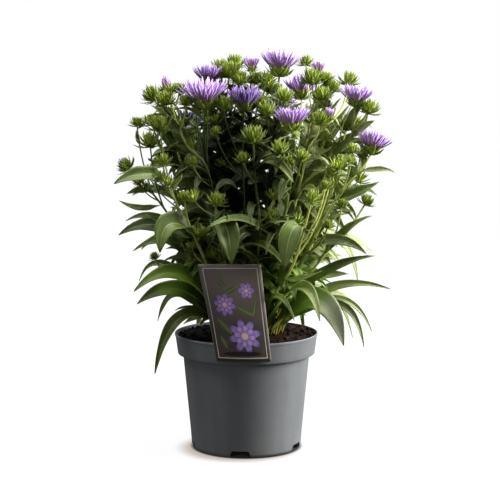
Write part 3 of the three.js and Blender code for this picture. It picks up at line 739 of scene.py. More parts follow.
class Recipe:
    """Lays out one node material."""

    def __init__(self, name: str) -> None:
        """Starts a material with its shader alone."""
        self.material = bpy.data.materials.new(name)
        self.material.use_nodes = True
        self.tree = self.material.node_tree
        self.shader = self.tree.nodes["Principled BSDF"]

    def put(self, node: Node, inputs: Inputs) -> None:
        """Sets inputs of a node, or links those whose value is a signal."""
        for key, value in inputs.items():
            if isinstance(value, Signal):
                self.tree.links.new(value.socket, node.inputs[key])
            else:
                node.inputs[key].default_value = value

    def node(self, kind: str, inputs: Inputs, output: str | int = 0, **settings: object) -> Signal:
        """Adds a node.

        Args:
            kind: the node's type without its ShaderNode prefix.
            inputs: values or signals by input name or number.
            output: the output that is returned.
            settings: the node's own properties.

        Returns:
            The output as a signal.
        """
        made = self.tree.nodes.new("ShaderNode" + kind)
        for name, value in settings.items():
            setattr(made, name, value)
        self.put(made, inputs)
        return Signal(self, made.outputs[output])

    def vector(self, operation: str, *values: "Signal | Triple") -> Signal:
        """One sum with vectors."""
        output = 1 if operation in ("LENGTH", "DISTANCE") else 0
        return self.node("VectorMath", dict(enumerate(values)), output, operation=operation)

    def here(self) -> Signal:
        """The point of the surface on the piece, in metres."""
        return self.node("TexCoord", {}, "Object")

    def along(self, axis: int) -> Signal:
        """One coordinate of the point of the surface, in metres."""
        return self.node("SeparateXYZ", {0: self.here()}, axis)

    def speckle(
        self, scale: float, detail: float = 2.0, roughness: float = 0.5, where: Signal | None = None
    ) -> Signal:
        """Cloudy noise from 0 to 1, with scale spots to the metre."""
        inputs = {"Vector": where or self.here(), "Scale": scale, "Detail": detail, "Roughness": roughness}
        return self.node("TexNoise", inputs)

    def tint(self) -> Signal:
        """The tint that each part of a piece was grown with."""
        return self.node("Attribute", {}, "Fac", attribute_name=TINT)

    def uv(self) -> tuple[Signal, Signal]:
        """The two coordinates of the piece's own UV map."""
        across = self.node("SeparateXYZ", {0: self.node("UVMap", {}, uv_map="UVMap")})
        return across, Signal(self, across.socket.node.outputs[1])

    def within(self, region: Region) -> Signal:
        """1 well inside an egg shape that fills a region, and 0 outside it."""
        middle, reach = region
        share = self.vector("DIVIDE", self.vector("SUBTRACT", self.here(), middle), reach)
        return self.vector("LENGTH", share).fall(0.68, 1.12)

    def shaded(self, colour: Signal, depth: float) -> Signal:
        """The colour with painted shade: a dull dark green in the shady heart of the plant, by a share of up
        to depth, with a lower specular level there.
        """
        heart = self.within(SHADY)
        self.put(self.shader, {"Specular IOR Level": heart * -0.4 + 0.5})
        return (heart * depth).mix(colour, (22, 31, 11))

    def relief(self, height: Signal, depth: float, strength: float) -> None:
        """Roughens the surface by a height field."""
        inputs = {"Height": height, "Distance": depth, "Strength": strength}
        self.put(self.shader, {"Normal": self.node("Bump", inputs)})

    def finish(self, colour: Signal | Screen, roughness: Signal | float, **others: float) -> Material:
        """Sets the shader's colour and roughness, and any other input that is the same all over."""
        named = {name.replace("_", " "): value for name, value in others.items()}
        self.put(self.shader, {"Base Color": paint(colour), "Roughness": roughness, **named})
        return self.material


@dataclass(frozen=True)
class LeafFinish:
    """A smooth lance leaf: deep green with a pale midrib, faint side veins and a waxy sheen, and painted
    light and shade by region: a glow, a highlight, a silvery reflection and the heart's shade.
    """

    deep: Screen
    mid: Screen
    light: Screen
    rib: Screen
    roughness: float
    rib_width: float

    def make(self, name: str) -> Material:
        """Builds the material under a name."""
        recipe = Recipe(name)
        across, along = recipe.uv()
        off_rib = abs(across - 0.5)
        cloud = recipe.speckle(55, 3)
        tone = recipe.tint() * 0.7 + cloud * 0.34
        colour = tone.ramp((0.12, *self.deep), (0.5, *self.mid), (0.95, *self.light))
        vein = (along * 30 - off_rib * 26).zigzag(1.0).fall(0.0, 0.22)
        edge = off_rib.rise(0.44, 0.5)
        rib = off_rib.fall(0.4 * self.rib_width, self.rib_width) * along.rise(0.55, 1.0, 0.9, 0.25)
        for share in (vein * 0.16, edge * 0.25, rib):
            colour = share.mix(colour, self.rib)
        recipe.relief(recipe.speckle(500) - vein * 0.8, 0.0004, 0.45)
        # Painted light: a glow through the leaves low at the right and a highlight low at the left, then a
        # painted silvery reflection
        painted_glow = recipe.within(PAINTED_GLOW_RIGHT).larger(recipe.within(PAINTED_HIGHLIGHT_LEFT))
        colour = (painted_glow * 0.55).mix(colour, (120, 156, 36))
        colour = (recipe.within(PAINTED_SHEEN_RIGHT) * 0.5).mix(colour, (190, 194, 172))
        rough = cloud.rise(0.2, 0.8, self.roughness - 0.07, self.roughness + 0.08)
        return recipe.finish(recipe.shaded(colour, 0.92), rough)


class BractFinish:
    """Bracts: pale at the foot, bright green along the middle, with darker spiny tips, and painted shade in
    the plant's heart.
    """

    FRESH = (0.0, 208, 210, 92), (0.35, 176, 192, 54), (0.75, 132, 156, 36), (1.0, 136, 138, 52)
    OLD = (0.0, 126, 146, 44), (0.4, 96, 120, 32), (0.8, 64, 88, 24), (1.0, 94, 96, 40)

    def make(self) -> Material:
        """Builds the material."""
        recipe = Recipe("bract_green")
        across, along = recipe.uv()
        colour = recipe.tint().mix(along.ramp(*self.OLD), along.ramp(*self.FRESH))
        rib = abs(across - 0.5).rise(0.02, 0.16, 0.35, 0.0)
        colour = rib.mix(colour, (176, 190, 92))
        recipe.relief(recipe.speckle(700), 0.0002, 0.3)
        return recipe.finish(recipe.shaded(colour, 0.72), recipe.speckle(90).rise(0.3, 0.7, 0.42, 0.58))


class PetalFinish:
    """Lavender straps: deep violet at the foot, lilac at the tips, with a soft bloom. A strap's tint mixes
    its lit colour with a painted shaded copy, and a tint below 0 paints deep violet shade.
    """

    FULL = (0.0, 184, 92, 168), (0.3, 176, 118, 192), (0.7, 182, 144, 214), (1.0, 208, 182, 234)
    # The same straps in painted shade
    PAINTED_SHADE_STOPS = (0.0, 138, 66, 140), (0.4, 144, 98, 180), (1.0, 174, 138, 212)

    def make(self) -> Material:
        """Builds the material."""
        recipe = Recipe("petal_lavender")
        across, along = recipe.uv()
        tint = recipe.tint()
        colour = tint.mix(along.ramp(*self.PAINTED_SHADE_STOPS), along.ramp(*self.FULL))
        colour = abs(across - 0.5).rise(0.0, 0.12, 0.25, 0.0).mix(colour, (146, 102, 196))
        # Painted shade: straps of heads that stand in shade turn deep violet
        colour = tint.fall(-1.0, 0.1).mix(colour, (58, 34, 112))
        recipe.relief((across * 12).zigzag(1.0), 0.0001, 0.3)
        return recipe.finish(colour, 0.62, Sheen_Weight=0.25, Sheen_Roughness=0.5)


class StemFinish:
    """Green stems with fine lengthwise ribs, paler on some shoots and flushed brown near the foot, and
    painted shade in the plant's heart.
    """

    GREENS = (0.0, 66, 90, 28), (0.5, 108, 132, 40), (1.0, 216, 222, 118)

    def make(self) -> Material:
        """Builds the material."""
        recipe = Recipe("stem_green")
        colour = (recipe.speckle(130, 3) * 0.2).mix(recipe.tint().ramp(*self.GREENS), (66, 74, 34))
        colour = (recipe.along(2).fall(0.158, 0.215) * 0.7).mix(colour, (168, 150, 82))
        recipe.relief(recipe.speckle(900), 0.0002, 0.4)
        return recipe.finish(recipe.shaded(colour, 0.95), 0.48)


class PlasticFinish:
    """Moulded pot plastic: matte blue-grey with a fine grain, faint flow lines and a dusty, scuffed foot, and
    painted shade inside the foot.
    """

    def make(self) -> Material:
        """Builds the material."""
        recipe = Recipe("pot_plastic_grey")
        height = recipe.along(2)
        stretched = recipe.node("Mapping", {0: recipe.here(), 3: (1.0, 1.0, 0.12)})
        level_spot = recipe.node("Mapping", {0: recipe.here(), 3: (1.0, 1.0, 0.0)})
        flow = recipe.speckle(60, 4, 0.6, stretched)
        dust = recipe.speckle(38, 5, 0.65)
        colour = (flow * 0.6 + dust * 0.4).ramp((0.25, 108, 111, 114), (0.75, 122, 125, 128))
        dusty = dust.rise(0.5, 0.75) * (height.fall(0.0, 0.05) * 0.4 + 0.12)
        colour = dusty.mix(colour, (128, 124, 116))
        # Painted shade: the inside of the foot, seen through the drain notches, is painted near black
        inside = recipe.vector("LENGTH", level_spot).fall(0.0685, 0.071) * height.fall(0.01, 0.014)
        colour = inside.mix(colour, (10, 10, 10))
        recipe.relief(recipe.speckle(1400, 2, 0.6), 0.00012, 0.35)
        return recipe.finish(colour, flow.rise(0.3, 0.7, 0.40, 0.52), Specular_IOR_Level=0.45)


class PeatFinish:
    """Dark brown peat with reddish fibres and pale crumbs, and a painted shadow of the leaves, near black,
    over its left side.
    """

    def make(self) -> Material:
        """Builds the material."""
        recipe = Recipe("peat_brown")
        coarse = recipe.speckle(160, 4, 0.65)
        fine = recipe.speckle(700, 3, 0.6)
        tone = coarse * 0.55 + fine * 0.35 + recipe.tint() * 0.16
        colour = tone.ramp((0.3, 14, 9, 8), (0.55, 40, 26, 20), (0.8, 86, 62, 46))
        # Painted shadow of the leaves over the left side of the peat
        painted_leaf_shadow = recipe.along(0).rise(-0.03, 0.03, 0.85, 0.0)
        recipe.relief(coarse + fine, 0.0012, 0.9)
        return recipe.finish(painted_leaf_shadow.mix(colour, (8, 5, 6)), 0.95, Specular_IOR_Level=0.1)


class CrownFinish:
    """The woody crown and old leaf bases: brown below, straw and ochre green on the stubs."""

    def make(self) -> Material:
        """Builds the material."""
        recipe = Recipe("crown_straw")
        streaks = recipe.speckle(220, 4, 0.6)
        dark = streaks.mix((16, 11, 7), (40, 28, 17))
        straw = streaks.mix((150, 140, 44), (206, 196, 104))
        recipe.relief(recipe.speckle(500, 3, 0.6), 0.0008, 0.6)
        return recipe.finish(recipe.tint().mix(dark, straw), 1.0, Specular_IOR_Level=0.0)


@dataclass(frozen=True)
class Blossom:
    """A round drawn blossom on the label: its place and radius in millimetres, its petals and its turn."""

    at: Pair
    radius: float
    petals: int
    turn: float


@dataclass(frozen=True)
class Sprig:
    """A drawn leaf on the label: its middle, half its length and width in millimetres, and its turn."""

    at: Pair
    half: Pair
    turn: float


@dataclass(frozen=True)
class CardFinish:
    """The printed face of the label: a dark ground, a pale frame line, round violet blossoms and leaves."""

    width: float
    height: float
    frame_inset: float = 5.5
    frame_line: float = 0.6
    blossoms: tuple[Blossom, ...] = (
        Blossom((47.0, 34.0), 22.5, 8, 0.2),
        Blossom((26.0, 74.0), 15.5, 8, 0.6),
        Blossom((57.0, 92.0), 11.5, 6, 0.0),
    )
    sprigs: tuple[Sprig, ...] = (
        Sprig((22.0, 46.0), (13.0, 4.4), 2.3),
        Sprig((52.0, 66.0), (13.0, 4.4), -0.5),
        Sprig((38.0, 93.0), (10.0, 3.8), 0.5),
        Sprig((26.0, 101.0), (9.0, 3.4), 2.2),
        Sprig((65.0, 70.0), (9.0, 3.6), 1.3),
        Sprig((17.0, 26.0), (9.0, 3.6), 2.0),
    )

    def about(self, spot: tuple[Signal, Signal], at: Pair, turn: float) -> tuple[Signal, Signal]:
        """The two coordinates about a point of the card, turned."""
        x, y = spot[0] - at[0], spot[1] - at[1]
        cos, sin = math.cos(turn), math.sin(turn)
        return x * cos + y * sin, y * cos - x * sin

    def draw_sprig(self, colour: Signal, spot: tuple[Signal, Signal], one: Sprig) -> Signal:
        """Lays one leaf over the colour, paler along its middle."""
        x, y = self.about(spot, one.at, one.turn)
        x, y = x / one.half[0], y / one.half[1]
        inside = (abs(y) + x * x).fall(0.85, 1.05)
        return inside.mix(colour, abs(y).fall(0.05, 0.2).mix((84, 100, 60), (132, 142, 100)))

    def draw_blossom(self, colour: Signal, spot: tuple[Signal, Signal], one: Blossom) -> Signal:
        """Lays one blossom over the colour: two rings of rounded petals round a pale eye."""
        rings = (
            (one.radius, one.turn, (92, 70, 146), (160, 138, 206)),
            (one.radius * 0.66, one.turn + math.pi / one.petals, (150, 96, 168), (202, 170, 222)),
        )
        for radius, turn, deep, pale in rings:
            x, y = self.about(spot, one.at, turn)
            reach = (x * x + y * y).root()
            lobe = abs((y.angle(x) * (one.petals / 2)).cosine())
            inside = (reach - lobe**0.45 * radius).fall(-0.5, 0.3)
            colour = inside.mix(colour, (reach / radius).ramp((0.2, *deep), (0.75, *pale), (1.0, *deep)))
        return reach.fall(0.16 * one.radius, 0.24 * one.radius).mix(colour, (226, 200, 196))

    def make(self) -> Material:
        """Builds the material."""
        recipe = Recipe("label_print")
        across, along = recipe.uv()
        right, height = across * self.width, along * self.height
        ground = recipe.speckle(34, 4, 0.6).ramp((0.3, 60, 51, 47), (0.7, 86, 76, 70))
        faded = height.rise(0.3 * self.height, 0.8 * self.height, 0.0, 0.75)
        colour = faded.mix(ground, (128, 116, 108))
        for sprig in self.sprigs:
            colour = self.draw_sprig(colour, (right, height), sprig)
        for blossom in self.blossoms:
            colour = self.draw_blossom(colour, (right, height), blossom)
        side = abs(right - self.width / 2) - (self.width / 2 - self.frame_inset)
        end = abs(height - self.height / 2) - (self.height / 2 - self.frame_inset)
        off = side.larger(end)
        colour = off.rise(0.2, 0.6).mix(colour, faded.mix((62, 57, 50), (132, 126, 114)))
        # A pale edge round the card
        pale_edge = off.rise(self.frame_inset - 1.2, self.frame_inset - 0.5)
        colour = pale_edge.mix(colour, (124, 120, 108))
        x = (right - self.width / 2) / (0.36 * self.width)
        y = (height - 11.0) / 3.4
        foot_band = (abs(x) ** 3.0 + y * y).rise(0.5, 1.1, 0.9, 0.0)
        colour = foot_band.mix(colour, (12, 11, 12))
        line = abs(off).rise(0.5 * self.frame_line, self.frame_line + 0.15, 0.85, 0.0)
        colour = line.mix(colour, (226, 216, 210))
        recipe.relief(recipe.speckle(600), 0.00005, 0.2)
        return recipe.finish(colour, recipe.speckle(25).rise(0.3, 0.7, 0.3, 0.4))


class CardBackFinish:
    """The unprinted side of the label: smooth dark plastic with faint handling marks."""

    def make(self) -> Material:
        """Builds the material."""
        recipe = Recipe("label_back")
        cloud = recipe.speckle(60, 4, 0.6)
        colour = cloud.ramp((0.3, 40, 36, 34), (0.7, 58, 53, 49))
        return recipe.finish(colour, cloud.rise(0.3, 0.7, 0.34, 0.46))


class Finishes:
    """Every material of the scene, made once."""

    UPPER = LeafFinish((44, 60, 12), (84, 104, 27), (150, 162, 98), (164, 174, 118), 0.44, 0.028)
    UNDER = LeafFinish((78, 94, 40), (106, 122, 54), (140, 152, 72), (170, 180, 116), 0.54, 0.05)

    def __init__(self) -> None:
        """Makes the materials. Blades and cards have a second one underneath."""
        back = CardBackFinish().make()
        self.pot = (PlasticFinish().make(),)
        self.peat = (PeatFinish().make(),)
        self.crown = (CrownFinish().make(),)
        self.stem = (StemFinish().make(),)
        self.bract = (BractFinish().make(),)
        self.petal = (PetalFinish().make(),)
        self.leaf = (self.UPPER.make("leaf_upper"), self.UNDER.make("leaf_under"))
        self.card = (CardFinish(PlantLabel.width, PlantLabel.height).make(), back)
        self.tongue = (back, back)


@dataclass
class Pot:
    """The nursery pot: collar, tapering wall, and a foot ring with drain notches. In millimetres."""

    height: float = 154.0
    rim_radius: float = 95.0
    collar_bottom: float = 127.0
    collar_radius: float = 91.0
    shoulder_radius: float = 84.0
    foot_radius: float = 73.0
    wall: float = 1.3
    rim_wall: float = 1.9
    floor: float = 6.0
    channel: float = 4.5
    pad_radius: float = 30.0
    corner: float = 6.0
    steps: int = 144
    notches: int = 5
    notch_first: float = math.radians(-96)
    notch_height: float = 9.6
    notch_bottom: float = 30.0
    notch_top: float = 22.0
    sharp: float = math.radians(32)

    def arc(self, middle: Pair, radius: float, start: float, end: float, steps: int) -> list[Pair]:
        """Points of a round stretch of the outline about its middle, between two angles in degrees."""
        angles = [math.radians(blend(start, end, step / steps)) for step in range(steps + 1)]
        return [(middle[0] + radius * math.cos(a), middle[1] + radius * math.sin(a)) for a in angles]

    def slope(self, start: Pair, end: Pair, steps: int) -> list[Pair]:
        """Points of a straight stretch of the outline, without its ends."""
        shares = [step / steps for step in range(1, steps)]
        return [(blend(start[0], end[0], share), blend(start[1], end[1], share)) for share in shares]

    def outline(self) -> list[Pair]:
        """The half section, from the middle of the foot round the rim to the middle of the floor."""
        foot, shoulder = self.foot_radius, self.shoulder_radius
        collar, rim = self.collar_radius, self.rim_radius
        low, top = self.collar_bottom, self.height
        corner, inside = foot - self.corner, rim - self.rim_wall
        return [
            (0, 0),
            (self.pad_radius, 0),
            (self.pad_radius + 2.5, self.channel),
            (corner - 6, self.channel),
            (corner - 4, 0.3),
            (corner - 3, 0),
            *self.arc((corner, self.corner), self.corner, -90, -6, 9),
            *self.slope((foot, 9), (shoulder, low - 2), 8),
            *self.arc((shoulder + 1.2, low - 1.6), 1.2, 180, 90, 4),
            *self.arc((collar - 1, low + 0.6), 1.0, -90, -10, 4),
            *self.slope((collar, low + 1), (rim - 0.9, top - 3.4), 4),
            (rim - 0.8, top - 3.2),
            (rim - 0.1, top - 2.7),
            *self.arc((rim - 0.8, top - 0.8), 0.8, 0, 90, 5),
            *self.arc((inside + 0.5, top - 0.5), 0.5, 90, 180, 4),
            (blend(inside, collar - self.wall, 0.9), low + 3),
            (collar - self.wall - 1.4, low + 1),
            (shoulder - self.wall, low - 0.4),
            (foot - self.wall + 0.6, self.floor + 5),
            (corner + 2, self.floor),
            (self.pad_radius - 1, self.floor),
            (self.pad_radius - 4, self.wall + 0.4),
            (0, self.wall + 0.4),
        ]

    def cutter(self, turn: float) -> Object:
        """A block in the shape of one drain notch."""
        form = bmesh.new()
        bmesh.ops.create_cube(form, size=1)
        near, far = self.foot_radius - self.corner - 5, self.foot_radius + 4
        for corner in form.verts:
            high = corner.co.z > 0
            corner.co.x *= self.notch_top if high else self.notch_bottom
            corner.co.y = -near if corner.co.y > 0 else -far
            corner.co.z = self.notch_height if high else -1
        upper = [e for e in form.edges if min(v.co.z for v in e.verts) > 0]
        sides = [e for e in upper if abs(e.verts[0].co.x - e.verts[1].co.x) < 1]
        bmesh.ops.bevel(form, geom=sides, offset=1.2, segments=3, profile=0.5, affect="EDGES", material=-1)
        bmesh.ops.scale(form, verts=form.verts, vec=(MM, MM, MM))
        bmesh.ops.rotate(form, verts=form.verts, cent=(0, 0, 0), matrix=Matrix.Rotation(turn, 3, "Z"))
        return object_of(mesh_of(form, "notch"), "notch")

    def build(self, finishes: Finishes) -> None:
        """Makes the pot, cuts its notches and dresses it."""
        pot = object_of(mesh_of(spun(self.outline(), self.steps)), "nursery_pot", finishes.pot)
        first = self.notch_first + math.pi / 2
        cutters = [self.cutter(first + i * WHOLE_TURN / self.notches) for i in range(self.notches)]
        for cutter in cutters:
            cut = pot.modifiers.new("Notch", "BOOLEAN")
            cut.operation = "DIFFERENCE"
            cut.object = cutter
        carved = bpy.data.meshes.new_from_object(pot.evaluated_get(bpy.context.evaluated_depsgraph_get()))
        pot.modifiers.clear()
        pot.data = carved
        for cutter in cutters:
            bpy.data.objects.remove(cutter)
        carved.shade_smooth()
        carved.set_sharp_from_angle(angle=self.sharp)
        carved.name = "nursery_pot"
        settle(pot, Slot.POT, "pot")


def soil_height(x: float, y: float) -> float:
    """The height of the peat in millimetres: flat under the crown, low in front, up to the rim behind."""
    out = math.hypot(x - CROWN_AT.x, y - CROWN_AT.y)
    beyond = smooth(CROWN_RADIUS + 3, CROWN_RADIUS + 20, out)
    lumps = 0.9 * math.sin(x / 7 + 1) * math.cos(y / 9) + 0.5 * math.sin(x / 3.1 - y / 4.3)
    heap = 1.8 * smooth(40, 88, 0.8 * x + 0.6 * y)
    return SOIL_LEVEL + beyond * (lumps - 1 + y / 45 + x / 90 + heap)


def rough_at(spot: Vector) -> float:
    """Lumps within lumps at a point, from about -1 to 1."""
    return noise.fractal(spot, 0.9, 2.1, 4)


@dataclass
class Soil:
    """The peat in the pot, its loose crumbs and its fibres. In millimetres."""

    radius: float = 92.0
    rings: int = 64
    steps: int = 190
    roughness: float = 1.5
    crumbs: int = 300
    crumb_sizes: Pair = (0.7, 3.0)
    fibres: int = 130
    fibre_lengths: Pair = (5, 17)
    fibre_radii: Pair = (0.35, 0.2)
    any_turn: float = 6.28

    def top(self, x: float, y: float) -> float:
        """The height of the rough top."""
        return soil_height(x, y) + rough_at(Vector((x, y, 0)) / 7) * self.roughness

    def body(self) -> Mesh:
        """The closed root ball: a spun disc whose top is then roughened."""
        outline = [(self.radius * ring / self.rings, SOIL_LEVEL) for ring in range(self.rings + 1)]
        outline += [(self.radius - 2.8, 130.0), (81.5, 126.0), (71.6, 12.0), (65.0, 6.3), (0.0, 6.3)]
        form = spun(outline, self.steps)
        for vertex in form.verts:
            if vertex.co.z > (SOIL_LEVEL - 0.5) * MM:
                vertex.co.z = self.top(vertex.co.x / MM, vertex.co.y / MM) * MM
        return mesh_of(form, "root_ball")

    def lump(self, seed: int) -> Mesh:
        """One crumb of radius 1."""
        form = ball(2)
        for vertex in form.verts:
            vertex.co *= 1 + 0.45 * noise.noise(vertex.co * 1.3 + Vector((seed * 9.1, 0, 0)))
        return mesh_of(form)

    def scatter(self, rng: Random) -> Pair:
        """A place on the peat outside the crown."""
        reach = math.sqrt(rng.uniform(0.16, 0.95)) * self.radius
        turn = rng.uniform(0, WHOLE_TURN)
        return reach * math.cos(turn), reach * math.sin(turn)

    def build(self, finishes: Finishes, twig: Mesh) -> None:
        """Makes and dresses the peat, its crumbs and its fibres."""
        rng = Random(SEED)
        settle(object_of(self.body(), "peat_root_ball", finishes.peat), Slot.PEAT, "potting_soil")
        crumbs = Growth()
        lumps = [self.lump(seed) for seed in range(4)]
        for _ in range(self.crumbs):
            x, y = self.scatter(rng)
            size = blend(*self.crumb_sizes, rng.random() ** 3)
            turn = Matrix.Rotation(rng.uniform(0, self.any_turn), 4, Vector([rng.random() for _ in range(3)]))
            place = Matrix.Translation(Vector((x, y, self.top(x, y) + 0.3 * size)) * MM)
            crumbs.add(rng.choice(lumps), place @ turn @ Matrix.Scale(size * MM, 4), rng.random())
        for _ in range(self.fibres):
            x, y = self.scatter(rng)
            heading, reach = rng.uniform(0, self.any_turn), rng.uniform(*self.fibre_lengths)
            cos, sin = math.cos(heading), math.sin(heading)
            ends = [(x + part * cos, y + part * sin) for part in (-0.5 * reach, 0.5 * reach)]
            if max(math.hypot(*end) for end in ends) > self.radius - 3:
                continue
            start, end = (Vector((px, py, self.top(px, py) + 0.3)) * MM for px, py in ends)
            path = Path.bow(start, (start + end) / 2 + up(rng.uniform(1, 5) * MM), end)
            crumbs.stem(twig, path, *self.fibre_radii, rng.random())
        crumbs.settle("peat_crumbs", Slot.PEAT, finishes.peat)


def lance(share: float) -> float:
    """Half the width of a lance-shaped leaf at a share of its length, for a full width of 1."""
    return 0.5 * (0.22 * (1 - share) + 0.98 * max(0.0, math.sin(math.pi * share**0.82)) ** 0.95) + 0.012


@dataclass(frozen=True)
class Blade:
    """A lance-shaped leaf along an arch. width is in millimetres, and fold is how much its halves rise."""

    path: Path
    width: float
    fold: float
    wave: float
    roll: float
    twist: float
    tint: float

    def grow(self, growth: Growth, template: Mesh) -> None:
        """Adds the leaf's upper face."""
        ribbon = Ribbon(self.path, self.roll, self.twist)
        phase = self.tint * 20

        def place(point: Vector) -> Vector:
            """Lays a point of the blade on the arch."""
            share = clamped(point.y)
            half = self.width * MM * lance(share)
            side = abs(point.x)
            ripple = self.wave * half * side * side * math.sin(share * 17 + phase + 1.6 * point.x)
            channel = self.fold * half * side**1.4
            return ribbon.place(share, point.x * half * (1 - 0.3 * self.fold * side), channel + ripple)

        growth.add(template, place, self.tint)


@dataclass(frozen=True)
class Whorl:
    """A ring of bracts round a head, in shares of the head's size: tilt is from upright, in degrees."""

    count: int
    length: float
    width: float
    tilt: float
    height: float
    radius: float
    leafy: bool
    tint: float


BUD_WHORLS = [
    Whorl(7, 0.82, 0.23, 98, -0.2, 0.04, True, 0.1),
    Whorl(9, 0.76, 0.22, 74, -0.18, 0.08, True, 0.3),
    Whorl(12, 0.7, 0.19, 52, -0.12, 0.11, True, 0.6),
    Whorl(13, 0.62, 0.16, 33, -0.04, 0.12, False, 0.8),
    Whorl(10, 0.54, 0.14, 14, 0.02, 0.08, False, 0.95),
]
CUP_WHORLS = [
    Whorl(7, 2.0, 0.6, 84, 0.0, 0.2, True, 0.1),
    Whorl(9, 1.8, 0.56, 60, 0.1, 0.4, True, 0.32),
    Whorl(11, 1.5, 0.5, 38, 0.25, 0.55, True, 0.6),
    Whorl(12, 1.25, 0.46, 20, 0.4, 0.66, False, 0.85),
]


@dataclass(frozen=True)
class Floret:
    """A ring of petal straps in shares of an open head: tilt is from upright, in degrees, at full opening.

    bend picks the template, bent up by a share of its width from STRAP_BENDS. tint is how far its straps take
    the lit colour rather than the painted shaded copy.
    """

    count: int
    lobes: int
    fan: float
    tilt: float
    length: float
    radius: float
    bend: int
    tint: float


STRAP_BENDS = (-1.5, -0.7, 0.3)
FLORETS = [
    Floret(8, 4, 42, 58, 0.98, 0.8, 0, 0.75),
    Floret(7, 4, 38, 43, 0.98, 0.6, 0, 0.95),
    Floret(6, 3, 32, 27, 0.78, 0.4, 1, 0.6),
    Floret(4, 3, 28, 11, 0.56, 0.2, 2, 0.4),
]


def standing(path: Path, direction: Vector) -> Matrix:
    """The frame of a head: its foot on the end of a path, and z along a direction."""
    return Matrix.Translation(path.at(1)) @ direction.to_track_quat("Z", "X").to_matrix().to_4x4()


